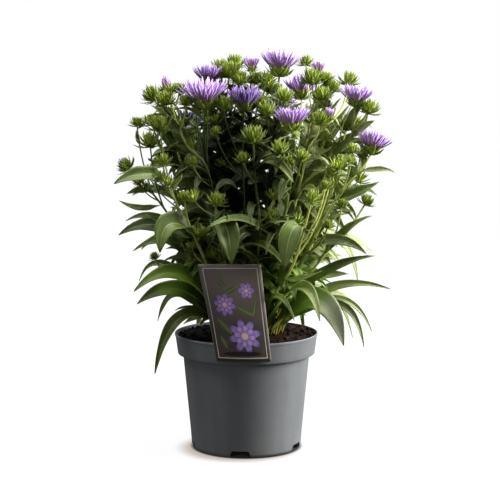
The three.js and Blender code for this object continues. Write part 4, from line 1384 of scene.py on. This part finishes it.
@dataclass
class HeadMaker:
    """Grows buds, cups and petals on the end of a stem. Every size is in metres."""

    leafy_from: float = 8 * MM
    cup_share: float = 0.2
    least_cup: float = 5 * MM
    tuft_petals: int = 30

    def __post_init__(self) -> None:
        """Makes the templates of bracts and petals."""
        spike, longer = column(4, 4), column(4, 5)
        self.bract = shaped(spike, self.bract_point)
        self.leafy = self.toothed(shaped(spike, self.leafy_point))
        self.straps = [shaped(longer, lambda p, b=bend: self.strap_point(p, b)) for bend in STRAP_BENDS]
        self.core = mesh_of(ball(1))

    def bract_point(self, point: Vector) -> Vector:
        """A narrow bract that leans in at its tip and ends in a spine."""
        half = 0.5 * (1 - point.z) ** 0.7 * (0.75 + 0.9 * point.z) + 0.02
        return Vector((point.x * half, point.y * half * 0.35 - 0.9 * point.z**2, point.z))

    def leafy_point(self, point: Vector) -> Vector:
        """A broad outer bract that curves up and out, and ends in a spine."""
        half = 0.5 * math.sin(math.pi * min(1.0, 0.16 + 0.84 * point.z)) ** 0.8 + 0.03
        return Vector((point.x * half, point.y * half * 0.25 - 1.5 * point.z**2, point.z))

    def strap_point(self, point: Vector, bend: float) -> Vector:
        """A petal strap: narrow at the foot, broadest past the middle, with a pointed tip, bent in or out."""
        half = 0.5 * (0.4 + 0.75 * point.z) * (1 - point.z**6) + 0.04
        return Vector((point.x * half, point.y * half * 0.3 + bend * point.z**2, point.z))

    def toothed(self, blade: Mesh) -> Mesh:
        """A leafy bract with bristles along both edges."""
        growth = Growth()
        growth.add(blade, Matrix.Identity(4))
        bristle = mesh_of(cone(3, 0))
        for share in (0.36, 0.6):
            for side in (-1, 1):
                edge = Matrix.Translation(self.leafy_point(Vector((side * 0.7, 0, share))))
                growth.add(bristle, edge @ turned(math.radians(46 * side), "Y") @ sized(0.07, 0.2))
        return mesh_of(growth.form)

    def ring(self, growth: Growth, stand: Matrix, whorl: Whorl, size: float, rng: Random) -> None:
        """Adds one whorl of bracts, whose shares are of a size."""
        first = rng.uniform(0, WHOLE_TURN)
        template = self.leafy if whorl.leafy and size > self.leafy_from else self.bract
        for i in range(whorl.count):
            turn = first + (i + rng.uniform(-0.22, 0.22)) * WHOLE_TURN / whorl.count
            tilt = math.radians(whorl.tilt + rng.uniform(-8, 8))
            length = whorl.length * size * rng.uniform(0.85, 1.12)
            width = whorl.width * size * rng.uniform(0.85, 1.15)
            foot = stand @ turned(turn, "Z") @ moved(whorl.radius * size, whorl.height * size)
            lean = foot @ turned(-tilt, "X") @ turned(rng.uniform(-0.25, 0.25), "Y")
            place = lean @ sized(width, length)
            growth.add(template, place, clamped(whorl.tint + rng.uniform(-0.2, 0.2)))

    def bud(self, growth: Growth, stand: Matrix, size: float, rng: Random) -> None:
        """Adds a green bud about the foot of its frame. size is its width."""
        for whorl in BUD_WHORLS:
            self.ring(growth, stand, whorl, size, rng)
        growth.add(self.core, stand @ sized(0.17 * size, 0.2 * size), 0.8)

    def small_bud(self, growth: Growth, stand: Matrix, size: float, rng: Random) -> None:
        """Adds a small young bud with fewer bracts."""
        for whorl in BUD_WHORLS[1:4]:
            self.ring(growth, stand, replace(whorl, count=whorl.count - 3, leafy=False), size, rng)
        growth.add(self.core, stand @ sized(0.15 * size, 0.22 * size), 0.6)

    def tuft(self, growth: Growth, stand: Matrix, size: float, height: float, rng: Random) -> None:
        """Adds the first petals that show in an opening bud, as a cone of a height above the bud's middle."""
        foot, width = 0.12 * size, 0.16 * size
        for i in range(self.tuft_petals):
            spread = math.sqrt(i / self.tuft_petals)
            reach = (height - foot) * blend(1.0, 0.82, spread) * rng.uniform(0.92, 1.04)
            lean = math.radians(-7 * spread + rng.uniform(-4, 4))
            base = stand @ turned(i * GOLDEN_TURN, "Z") @ moved(0.29 * size * spread, foot)
            place = base @ turned(lean, "X") @ sized(width, reach)
            growth.add(self.straps[1], place, rng.uniform(0.2, 1.0))

    def cup(self, growth: Growth, stand: Matrix, size: float, rng: Random) -> None:
        """Adds the green cup of an open head. size is the width of its petals."""
        radius = max(self.least_cup, self.cup_share * size)
        for whorl in CUP_WHORLS:
            self.ring(growth, stand, whorl, radius, rng)
        growth.add(self.core, stand @ moved(0, 0.66 * radius) @ sized(0.72 * radius, 0.7 * radius), 0.4)

    def petals(self, growth: Growth, stand: Matrix, size: float, depth: float, rng: Random) -> None:
        """Adds the petal straps of an open head, with painted shade by depth, or painted light below 0."""
        radius = max(self.least_cup, self.cup_share * size)
        opening = smooth(14 * MM, 46 * MM, size)
        reach = size * blend(0.62, 0.53, opening)
        growth.add(self.core, stand @ moved(0, 0.95 * radius) @ sized(0.62 * radius, 0.5 * radius), 0.25)
        for floret in FLORETS:
            tilt = floret.tilt * blend(0.5, 1.0, opening)
            first = rng.uniform(0, WHOLE_TURN)
            for i in range(round(floret.count * blend(0.45, 1.0, opening))):
                turn = first + (i + rng.uniform(-0.2, 0.2)) * WHOLE_TURN / floret.count
                lean = math.radians(tilt + rng.uniform(-7, 7))
                foot = stand @ turned(turn, "Z") @ moved(floret.radius * radius, 0.95 * radius)
                for lobe in range(floret.lobes):
                    fan = math.radians(floret.fan * (lobe / (floret.lobes - 1) - 0.5) + rng.uniform(-4, 4))
                    length = floret.length * reach * rng.uniform(0.88, 1.1)
                    width = PETAL_WIDTH * MM * rng.uniform(0.8, 1.15) * blend(0.7, 1.0, opening)
                    drop = -lean + math.radians(rng.uniform(-7, 7))
                    place = foot @ turned(drop, "X") @ turned(fan, "Y") @ sized(width, length)
                    shade = clamped(floret.tint + rng.uniform(-0.35, 0.25))
                    growth.add(self.straps[floret.bend], place, shade - depth)


# Half the spread of the loose foliage about the plant's middle at a height, in millimetres
SPREAD = [
    (160, 56), (200, 98), (228, 120), (270, 124), (300, 136), (340, 150), (375, 162),
    (410, 164), (450, 146), (480, 126), (498, 90), (512, 40), (514, 0),
]
SPREAD_MIDDLE = Vector((10.0, 8.0, 0.0))
SPREAD_DEPTH = 0.88
# Length and width of a free stem leaf at a height, in millimetres
FREE_LENGTH = [(165, 112), (240, 106), (300, 90), (350, 72), (400, 54), (450, 40), (500, 28)]
FREE_WIDTH = [(165, 22), (240, 23), (300, 20), (350, 16), (400, 11), (450, 8), (500, 6)]
# The space in front of the label that leaves keep out of: lowest and highest corner, in millimetres
LABEL_SPACE = (Vector((-76, -160, 120)), Vector((32, -76, 262)))
# Where the plant is open to look into: across from and to, up from and to, and how far back, in millimetres
OPENINGS = [(-66, 34, 312, 446, -12), (-128, -101, 306, 346, 90)]
# Shoots whose upper stems show, with the share that they show from, and the cells that these are told by
BARE_STEMS = {2: 0.5, 7: 0.62, 11: 0.55, 12: 0.45, 13: 0.5, 14: 0.4, 15: 0.45, 16: 0.5, 19: 0.5, 20: 0.5}
CELL = 4.0
# Painted shade on the petals of open heads that stand in shade, and below 0 painted light on heads that stand
# in light
BLOOM_PAINTED_SHADING = {
    "flower_02": 0.45, "flower_03": 1.25, "flower_07": -0.4, "flower_10": -0.25, "flower_11": -0.6,
    "flower_12": 2.0, "flower_15": 2.0,
}
# Heads beyond this depth may be hidden by what grows before them
BEHIND = 64.0
# Stem leaves wider than this get the finer template, in millimetres
FINE_LEAF = 15


def picture_spot(point: Vector) -> Vector:
    """Where a point in metres is seen: across and up on the upright plane through the pot, in millimetres."""
    spot = point / MM
    far = (spot.y - EYE.y) / -EYE.y
    return Vector((EYE.x + (spot.x - EYE.x) / far, EYE.z + (spot.z - EYE.z) / far))


def cell_of(point: Vector) -> tuple[int, int]:
    """The cell of the front view that a point in metres is seen in."""
    spot = picture_spot(point)
    return round(spot.x / CELL), round(spot.y / CELL)


def within_spread(point: Vector) -> bool:
    """Whether a point in metres lies inside the loose foliage and clear of the label."""
    spot = point / MM
    away = spot - SPREAD_MIDDLE
    low, high = LABEL_SPACE
    if all(low[i] < spot[i] < high[i] for i in range(3)):
        return False
    return math.hypot(away.x, away.y / SPREAD_DEPTH) < read_off(SPREAD, spot.z)


def before_opening(point: Vector) -> bool:
    """Whether a point in metres is where the plant is open to look into."""
    spot = picture_spot(point)
    return any(
        point.y < depth * MM and left < spot.x < right and low < spot.y < high
        for left, right, low, high, depth in OPENINGS
    )


def heading_out(start: Vector, turn: float, ease: float) -> Vector:
    """A level direction from a point in metres, drawn outwards, and the more so far from the middle."""
    outward = (start / MM - SPREAD_MIDDLE).xy.to_3d() / ease
    return (level(turn) + outward).normalized()


@dataclass
class Plant:
    """The whole plant: crown, shoots, stem leaves, buds, open heads and basal leaves.

    Free leaves grow on a stretch of each stem, in shares of it. One that is in the way is made shorter and
    tried again. In the heart of the plant they are broader and closer, and at its sunny side narrower and
    closer. Side buds grow on a higher stretch of each stem, above a height in metres and a step apart.
    """

    finishes: Finishes
    leafy_stretch: Pair = (0.05, 0.97)
    leaf_steps: Pair = (0.034, 0.026)
    tries: int = 4
    shorter: float = 0.8
    heart_behind: float = 8 * MM
    heart_heights: Pair = (300, 470)
    heart_growth: Pair = (1.6, 0.5)
    sunny_from: float = 28 * MM
    sunny_above: float = 250
    sunny_growth: Pair = (0.74, 0.7)
    budding_stretch: Pair = (0.5, 0.985)
    buds_above: float = 0.25
    bud_step: float = 0.044
    branch_leaves_at: Triple = (0.3, 0.72, 0.93)

    def __post_init__(self) -> None:
        """Makes the templates, and finds the open heads and the stems that stay in sight."""
        self.heads = HeadMaker()
        self.stem = column(8, 34)
        self.twig = column(6, 9)
        self.blade = grid(6, 12)
        self.small_blade = grid(4, 6)
        self.basal_blade = grid(8, 30)
        heads = [head for shoot in SHOOTS for head in shoot.heads]
        self.blooms = [head for head in heads if head.stage is Stage.BLOOM and head.at[2] < BEHIND]
        self.bare = self.bare_cells()

    def bare_cells(self) -> dict[tuple[int, int], float]:
        """The cells of the front view that a bare stem crosses, and its depth there in metres."""
        cells = {}
        for number, start in BARE_STEMS.items():
            stem = self.stem_path(SHOOTS[number - 1])
            for step in range(101):
                point = stem.at(blend(start, 0.97, step / 100))
                cells[cell_of(point)] = point.y
        return cells

    def hides_stem(self, path: Path) -> bool:
        """Whether a leaf along a path would stand before a bare stem."""
        for point in map(path.at, (0.3, 0.5, 0.7, 0.9)):
            across, height = cell_of(point)
            near = ((across + i, height + j) for i in (-1, 0, 1) for j in (-1, 0, 1))
            if any(point.y < self.bare[cell] + 1 * MM for cell in near if cell in self.bare):
                return True
        return False

    def hides_bloom(self, point: Vector, margin: float) -> bool:
        """Whether something within a margin of a point would stand before an open head."""
        spot = picture_spot(point)
        for head in self.blooms:
            across, height, depth = head.at
            middle = Vector((across, height + 0.4 * head.size))
            if point.y < (depth + 8) * MM and (spot - middle).length < 0.5 * head.size + margin:
                return True
        return False

    def in_the_way(self, path: Path, margin: float, *shares: float) -> bool:
        """Whether something on the end of a path would hide what has to be seen.

        Args:
            path: its middle line.
            margin: how far it reaches round its end, in millimetres.
            shares: where along the path it may not stand before an opening.

        Returns:
            True where an opening, an open head or a bare stem would be hidden.
        """
        openings = any(before_opening(path.at(share)) for share in shares)
        return openings or self.hides_bloom(path.at(1), margin) or self.hides_stem(path)

    def stem_end(self, head: Head) -> Vector:
        """Where a stem ends under its head: an open head sits on the end, a bud is grown round it."""
        drop = 0.5 * max(5.0, 0.2 * head.size) if head.stage is Stage.BLOOM else 0.0
        return seen(head.at) - up(drop * MM)

    def stem_path(self, shoot: Shoot) -> Path:
        """The line of a shoot's stem."""
        x, y = shoot.foot
        foot = Vector((x, y, FOOT_LEVEL - 3)) * MM
        first = Vector((x * 1.05, y * 1.05, FOOT_LEVEL + 16)) * MM
        return Path.through([foot, first, *map(seen, shoot.bends), self.stem_end(shoot.heads[0])])

    def branch_path(self, start: Vector, end: Vector) -> Path:
        """A side branch leaves the stem aslant and turns upwards to its head."""
        over = Vector([blend(start[i], end[i], share) for i, share in enumerate((0.8, 0.8, 0.42))])
        return Path.bow(start, over, end)

    def painted_paleness(self, across: float) -> float:
        """How much paler leaves are painted at a distance across, as painted light: more at the right, where
        the key light falls, and a little at the far left.
        """
        return 0.45 * smooth(-50, 100, across) + 0.12 * smooth(45, 95, -across)

    def blade_on(self, path: Path, width: float, facing: float, rng: Random) -> Blade:
        """A leaf along a path, with a fold, a wave and a twist of its own.

        Args:
            path: the leaf's midrib.
            width: its width in millimetres.
            facing: how far its upper face is rolled towards the viewer, in radians.
            rng: gives the leaf its own shape.

        Returns:
            The leaf.
        """
        way = path.points[-1] - path.points[0]
        return Blade(
            path,
            width,
            fold=rng.uniform(0.2, 0.55),
            wave=rng.uniform(0.03, 0.14),
            roll=-facing * way.x / max(way.xy.length, 1e-6),
            twist=rng.uniform(-0.3, 0.3),
            # A random tone, and painted light by where the leaf stands
            tint=rng.uniform(0.05, 0.55) + self.painted_paleness(path.at(0.5).x / MM),
        )

    def free_leaves(self, stem: Path, rng: Random) -> Iterator[Blade]:
        """The leaves that fill a stem, by the golden turn, shorter and closer towards its top."""
        turn = rng.uniform(0, WHOLE_TURN)
        share, last = self.leafy_stretch
        low, high = self.heart_heights
        while share < last:
            start = stem.at(share)
            height = start.z / MM
            behind = start.y > self.heart_behind and low < height < high
            sunny = start.x > self.sunny_from and height > self.sunny_above
            breadth, closeness = self.heart_growth if behind else self.sunny_growth if sunny else (1.0, 1.0)
            heading = heading_out(start, turn, 95)
            length = read_off(FREE_LENGTH, height) * rng.uniform(0.8, 1.15)
            droop = rng.uniform(-0.4, 0.45)
            for _ in range(self.tries):
                tip = start + (heading * 0.86 + up(droop)) * length * MM
                path = Path.bow(start, start + (heading * 0.42 + up(0.5)) * length * MM, tip)
                if within_spread(tip) and not self.in_the_way(path, 3, 0.45, 0.7, 1.0):
                    width = min(read_off(FREE_WIDTH, height), 0.27 * length)
                    width *= rng.uniform(0.85, 1.2)
                    yield self.blade_on(path, width * breadth, rng.uniform(-0.6, 1.1), rng)
                    break
                length *= self.shorter
            turn += GOLDEN_TURN
            share += blend(*self.leaf_steps, share) * closeness

    def side_buds(self, stem: Path, rng: Random) -> Iterator[tuple[Path, float]]:
        """Short twigs with young buds in the upper leaf axils: their path and the bud's size."""
        share, last = self.budding_stretch
        while share < last:
            start = stem.at(share)
            heading = heading_out(start, rng.uniform(0, WHOLE_TURN), 80)
            reach = rng.uniform(18, 44) * MM
            end = start + (heading * 0.66 + up(rng.uniform(0.4, 0.9))) * reach
            size = rng.uniform(13, 23)
            path = Path.bow(start, start + (heading * 0.55 + up(0.25)) * reach, end)
            inside = within_spread(end) and start.z > self.buds_above
            if inside and not self.in_the_way(path, 0.6 * size, 1.0):
                yield path, size
            share += self.bud_step

    def branch_leaves(self, leaves: Growth, path: Path, rng: Random) -> None:
        """Adds small leaves along a branch or twig, and a collar of them under its head."""
        turn = rng.uniform(0, WHOLE_TURN)
        for share in self.branch_leaves_at:
            start = path.at(share)
            length = rng.uniform(13, 26) * MM
            heading = level(turn)
            tip = start + (heading * 0.7 + up(rng.uniform(0.2, 0.9))) * length
            way = Path.bow(start, start + (heading * 0.55 + up(0.2)) * length, tip)
            if not self.in_the_way(way, 3, 1.0):
                blade = self.blade_on(way, rng.uniform(3.5, 6.5), rng.uniform(-0.6, 0.9), rng)
                blade.grow(leaves, self.small_blade)
            turn += GOLDEN_TURN

    def build_shoot(self, number: int, shoot: Shoot) -> None:
        """Makes one shoot: its stems, its leaves, its buds and its open heads."""
        rng = Random(SEED * 1000 + number)
        node = f"shoot_{number:02d}"
        stems, leaves, buds, tufts = Growth(), Growth(), Growth(), Growth()
        stem = self.stem_path(shoot)
        shade = rng.uniform(0.75, 1.0) if number in BARE_STEMS else rng.uniform(0.1, 0.7)
        stems.stem(self.stem, stem, STEM_RADIUS, STEM_TIP_RADIUS, shade)
        for head in shoot.heads:
            path, size = stem, head.size * MM
            if head.start < 1:
                path = self.branch_path(stem.at(head.start), self.stem_end(head))
                stems.stem(self.twig, path, BRANCH_RADIUS * 1.2, BRANCH_RADIUS, shade)
                self.branch_leaves(leaves, path, rng)
            if head.stage is Stage.BLOOM:
                self.build_flower(head, path, rng)
                continue
            stand = standing(path, path.run(1))
            self.heads.bud(buds, stand, size, rng)
            if head.stage is Stage.OPENING:
                self.heads.tuft(tufts, stand, size, head.petals * MM, rng)
        for one in shoot.leaves:
            path = Path.bow(stem.at(one.start), seen(one.over), seen(one.tip))
            self.blade_on(path, one.width, rng.uniform(0.9, 1.25), rng).grow(leaves, self.blade)
        for blade in self.free_leaves(stem, rng):
            blade.grow(leaves, self.blade if blade.width > FINE_LEAF else self.small_blade)
        for path, size in self.side_buds(stem, rng):
            stems.stem(self.twig, path, BRANCH_RADIUS, 0.8 * BRANCH_RADIUS, shade)
            self.heads.small_bud(buds, standing(path, path.run(1)), size * MM, rng)
            self.branch_leaves(leaves, path, rng)
        stems.settle(f"{node}_stems", Slot.SHOOT, self.finishes.stem, node)
        buds.settle(f"{node}_buds", Slot.SHOOT, self.finishes.bract, node)
        leaves.settle(f"{node}_leaves", Slot.LEAF, self.finishes.leaf, node, thickness=LEAF_THICKNESS)
        if any(head.stage is Stage.OPENING for head in shoot.heads):
            tufts.settle(f"{node}_first_petals", Slot.PETAL, self.finishes.petal, node)

    def build_flower(self, head: Head, path: Path, rng: Random) -> None:
        """Makes one open head: its petals and its green cup."""
        stand = standing(path, path.run(1).lerp(up(1), BLOOM_UPRIGHT).normalized())
        petals, cup = Growth(), Growth()
        self.heads.petals(petals, stand, head.size * MM, BLOOM_PAINTED_SHADING.get(head.name, 0.0), rng)
        self.heads.cup(cup, stand, head.size * MM, rng)
        petals.settle(f"{head.name}_petals", Slot.PETAL, self.finishes.petal, head.name)
        cup.settle(f"{head.name}_cup", Slot.SHOOT, self.finishes.bract, head.name)

    def build_basal_leaf(self, number: int, foot: Pair, over: Triple, tip: Triple, width: float) -> None:
        """Makes one basal leaf of a width from its foot to its tip, drawn towards over."""
        rng = Random(SEED * 2000 + number)
        growth = Growth()
        path = Path.bow(Vector((*foot, FOOT_LEVEL)) * MM, seen(over), seen(tip))
        self.blade_on(path, width, rng.uniform(0.95, 1.3), rng).grow(growth, self.basal_blade)
        node = f"basal_leaf_{number:02d}"
        growth.settle(f"{node}_blade", Slot.LEAF, self.finishes.leaf, node, thickness=BASAL_THICKNESS)

    def mound(self) -> Mesh:
        """The low lumpy mound of the crown, about its own middle."""
        form = ball(5)
        for vertex in form.verts:
            x, y, z = vertex.co
            lumps = rough_at(vertex.co * 3.5) * 0.1
            out = 1 + lumps
            spot = (x * out * CROWN_RADIUS, y * out * CROWN_RADIUS, (z + lumps) * CROWN_HEIGHT)
            vertex.co = Vector(spot) * MM
        return mesh_of(form)

    def build_crown(self) -> None:
        """Makes the low woody mound and the old stalk bases on it."""
        rng = Random(SEED * 3000)
        growth = Growth()
        growth.add(self.mound(), Matrix.Translation((CROWN_AT + up(SOIL_LEVEL + 0.4)) * MM), 0.0)
        for i in range(STUBS):
            reach = STUBS_REACH * math.sqrt((i + 0.5) / STUBS)
            out = level(i * GOLDEN_TURN)
            foot = (CROWN_AT + out * reach + up(FOOT_LEVEL - 5)) * MM
            rise = rng.uniform(16, 46) * MM
            lean = out * reach / 75 + Vector((rng.uniform(-0.15, 0.15), rng.uniform(-0.15, 0.15), 0))
            path = Path.bow(foot, foot + (lean * 0.3 + up(0.6)) * rise, foot + (lean + up(1)) * rise)
            growth.stem(self.twig, path, rng.uniform(0.9, 1.6), rng.uniform(0.5, 1.0), rng.uniform(0.45, 1))
        growth.settle("crown_mound", Slot.CROWN, self.finishes.crown, "root_crown")

    def build(self) -> None:
        """Makes the whole plant."""
        self.build_crown()
        for number, shoot in enumerate(SHOOTS, 1):
            self.build_shoot(number, shoot)
        for number, leaf in enumerate(BASAL_LEAVES, 1):
            self.build_basal_leaf(number, *leaf)


@dataclass
class PlantLabel:
    """The picture card outside the rim, and the tongue that holds it. In millimetres."""

    width: float = 80.0
    height: float = 126.0
    thickness: float = 0.6
    bottom: float = 131.0
    foot_share: float = 0.9
    centre_bottom: float = -3.0
    centre_top: float = -21.5
    lean: float = 9.0
    radius: float = 95.7
    wrapped_share: float = 0.22
    flat_share: float = 0.95
    offset: float = 0.3
    corner: float = 2.2
    tongue_width: float = 44.0
    tongue_bottom: float = 130.0
    tongue_top: float = 154.8
    tongue_radius: float = 89.5
    tongue_bend: float = 2.0

    def card_point(self, right: float, height: float, off: float) -> Vector:
        """Where a point of the flat card goes: right from its middle, up from its foot, and off outwards.

        The card narrows towards its foot. The lower part wraps the rim, and the rest straightens out and
        leans to the left and back.
        """
        share = height / self.height
        centre = blend(self.centre_bottom, self.centre_top, share)
        aside = right * blend(self.foot_share, 1.0, share)
        angle = (centre + aside) / self.radius
        radius = self.radius + off
        flat = smooth(self.wrapped_share * self.height, self.flat_share * self.height, height)
        x = blend(radius * math.sin(angle), centre + aside, flat)
        y = blend(-radius * math.cos(angle), -radius, flat) + self.lean * flat
        return Vector((x, y, self.bottom + height * 0.99)) * MM

    def card(self) -> Mesh:
        """The card with rounded corners."""
        form = blank()
        bmesh.ops.create_grid(form, x_segments=20, y_segments=30, size=0.5, calc_uvs=True)
        bmesh.ops.scale(form, verts=form.verts, vec=(self.width, self.height, 1))
        corners = [v for v in form.verts if len(v.link_edges) == 2]
        bmesh.ops.bevel(
            form, geom=corners, offset=self.corner, segments=5, profile=0.5, affect="VERTICES", material=-1
        )
        for vertex in form.verts:
            vertex.co = self.card_point(vertex.co.x, vertex.co.y + self.height / 2, self.offset)
        return mesh_of(form, "card")

    def tongue_point(self, point: Vector) -> Vector:
        """Where a point of the flat tongue goes: over the rim and down behind it."""
        over, down = self.radius - self.tongue_radius, self.tongue_top - self.tongue_bottom
        run, bend = point.y * (over + down), self.tongue_bend
        angle = (point.x * self.tongue_width / 2 + self.centre_bottom) / self.radius
        if run < over - bend:
            inward, height = run, self.tongue_top
        elif run < over + bend:
            part = (run - over + bend) / (2 * bend) * math.pi / 2
            inward = over - bend + bend * math.sin(part)
            height = self.tongue_top - bend * (1 - math.cos(part))
        else:
            inward, height = over, self.tongue_top - (run - over)
        radius = self.radius - inward
        return Vector((radius * math.sin(angle), -radius * math.cos(angle), height)) * MM

    def build(self, finishes: Finishes) -> None:
        """Makes and dresses the card and its tongue."""
        tongue = shaped(grid(10, 24), self.tongue_point)
        tongue.name = "tongue"
        parts = {"label_card": (self.card(), finishes.card), "label_tongue": (tongue, finishes.tongue)}
        for name, (mesh, finish) in parts.items():
            settle(object_of(mesh, name, finish), Slot.LABEL, "plant_label", thickness=self.thickness)


@dataclass(frozen=True)
class SoftBox:
    """A soft studio light: where it is and what it faces, in metres, its width, its power and its colour."""

    name: str
    at: Triple
    target: Triple
    width: float
    power: float
    colour: Triple = (1.0, 1.0, 1.0)

    def hang(self) -> None:
        """Adds the light to the scene."""
        light = bpy.data.lights.new(self.name, "AREA")
        light.shape = "DISK"
        light.size = self.width
        light.energy = self.power
        light.color = self.colour
        lamp = placed(self.name, light)
        lamp.location = self.at
        lamp.rotation_euler = (Vector(self.target) - Vector(self.at)).to_track_quat("-Z", "Y").to_euler()


@dataclass
class Studio:
    """The pale floor, the lights and the camera."""

    floor_radius: float = 9.0
    lights: tuple[SoftBox, ...] = (
        SoftBox("key", (1.95, 0.0, 1.05), (0.0, 0.0, 0.3), 1.3, 124.0, (1.0, 0.985, 0.96)),
        SoftBox("top", (0.2, -0.15, 1.9), (0.0, 0.0, 0.4), 0.8, 36.0),
        SoftBox("fill", (-1.5, -1.5, 0.9), (0.0, 0.0, 0.3), 1.4, 3.5, (1.0, 0.98, 0.95)),
        SoftBox("left", (-0.8, -0.3, 1.8), (0.0, 0.0, 0.3), 0.8, 16.0),
        SoftBox("back", (0.9, 1.6, 1.2), (0.0, 0.0, 0.35), 1.0, 30.0),
    )

    def floor(self) -> None:
        """A white disc with a painted soft warm shadow about the pot's foot. The plant and the pot get no
        light from it.
        """
        recipe = Recipe("studio_floor")
        foot = recipe.vector("LENGTH", recipe.here())
        painted_floor_shadow = recipe.vector("DISTANCE", recipe.here(), (-0.01, -0.012, 0.0)).rise(0.062, 0.089)
        # Painted shadow: the floor glows less and warmer near the pot, and hardly at all under it
        glow = {
            "Emission Color": painted_floor_shadow.mix((198, 188, 178), (255, 255, 255)),
            "Emission Strength": foot.rise(0.07, 0.077, 0.02, 1.0) * foot.rise(0.1, 0.7, 0.955, 1.0),
        }
        recipe.put(recipe.shader, glow)
        form = blank()
        bmesh.ops.create_circle(form, cap_ends=True, segments=96, radius=self.floor_radius)
        material = recipe.finish((60, 60, 60), 0.9, Specular_IOR_Level=0.0)
        floor = object_of(mesh_of(form, "floor"), "studio_floor", (material,))
        floor.visible_diffuse = False
        floor.visible_glossy = False
        floor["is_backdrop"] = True

    def world(self) -> None:
        """A white surround: full white to look at, and dimmer as a light."""
        world = bpy.data.worlds.new("surround")
        world.use_nodes = True
        nodes, links = world.node_tree.nodes, world.node_tree.links
        background = nodes["Background"]
        background.inputs["Color"].default_value = (1, 1, 1, 1)
        strength = nodes.new("ShaderNodeMapRange")
        strength.inputs["To Min"].default_value = 0.11
        strength.inputs["To Max"].default_value = 1.0
        links.new(nodes.new("ShaderNodeLightPath").outputs["Is Camera Ray"], strength.inputs["Value"])
        links.new(strength.outputs[0], background.inputs["Strength"])
        bpy.context.scene.world = world

    def camera(self) -> None:
        """The camera at the photograph's viewing angle."""
        data = bpy.data.cameras.new("front")
        data.sensor_width = SENSOR_WIDTH
        data.lens = CAMERA_LENS
        data.clip_end = CAMERA_REACH
        camera = placed("front", data)
        camera.location = EYE * MM
        camera.rotation_euler = (math.pi / 2 - CAMERA_PITCH, 0, 0)
        bpy.context.scene.camera = camera

    def build(self) -> None:
        """Sets up the studio."""
        bpy.context.scene.view_settings.view_transform = "Standard"
        self.floor()
        self.world()
        self.camera()
        for light in self.lights:
            light.hang()


def write_sizes() -> None:
    """Works out the CAD box and the visual model's box as plain numbers."""
    boxes = {"cad": CAD_BOX, "visual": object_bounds()}
    plain = {name: [list(map(float, corner)) for corner in box] for name, box in boxes.items()}


def main() -> None:
    """Builds the pot, the soil, the plant and the label in order, and then the studio."""
    logging.basicConfig(level=logging.INFO, format="%(name)s %(message)s")
    finishes = Finishes()
    plant = Plant(finishes)
    Pot().build(finishes)
    Soil().build(finishes, plant.twig)
    plant.build()
    PlantLabel().build(finishes)
    Studio().build()
    write_sizes()


if __name__ == "__main__":
    main()
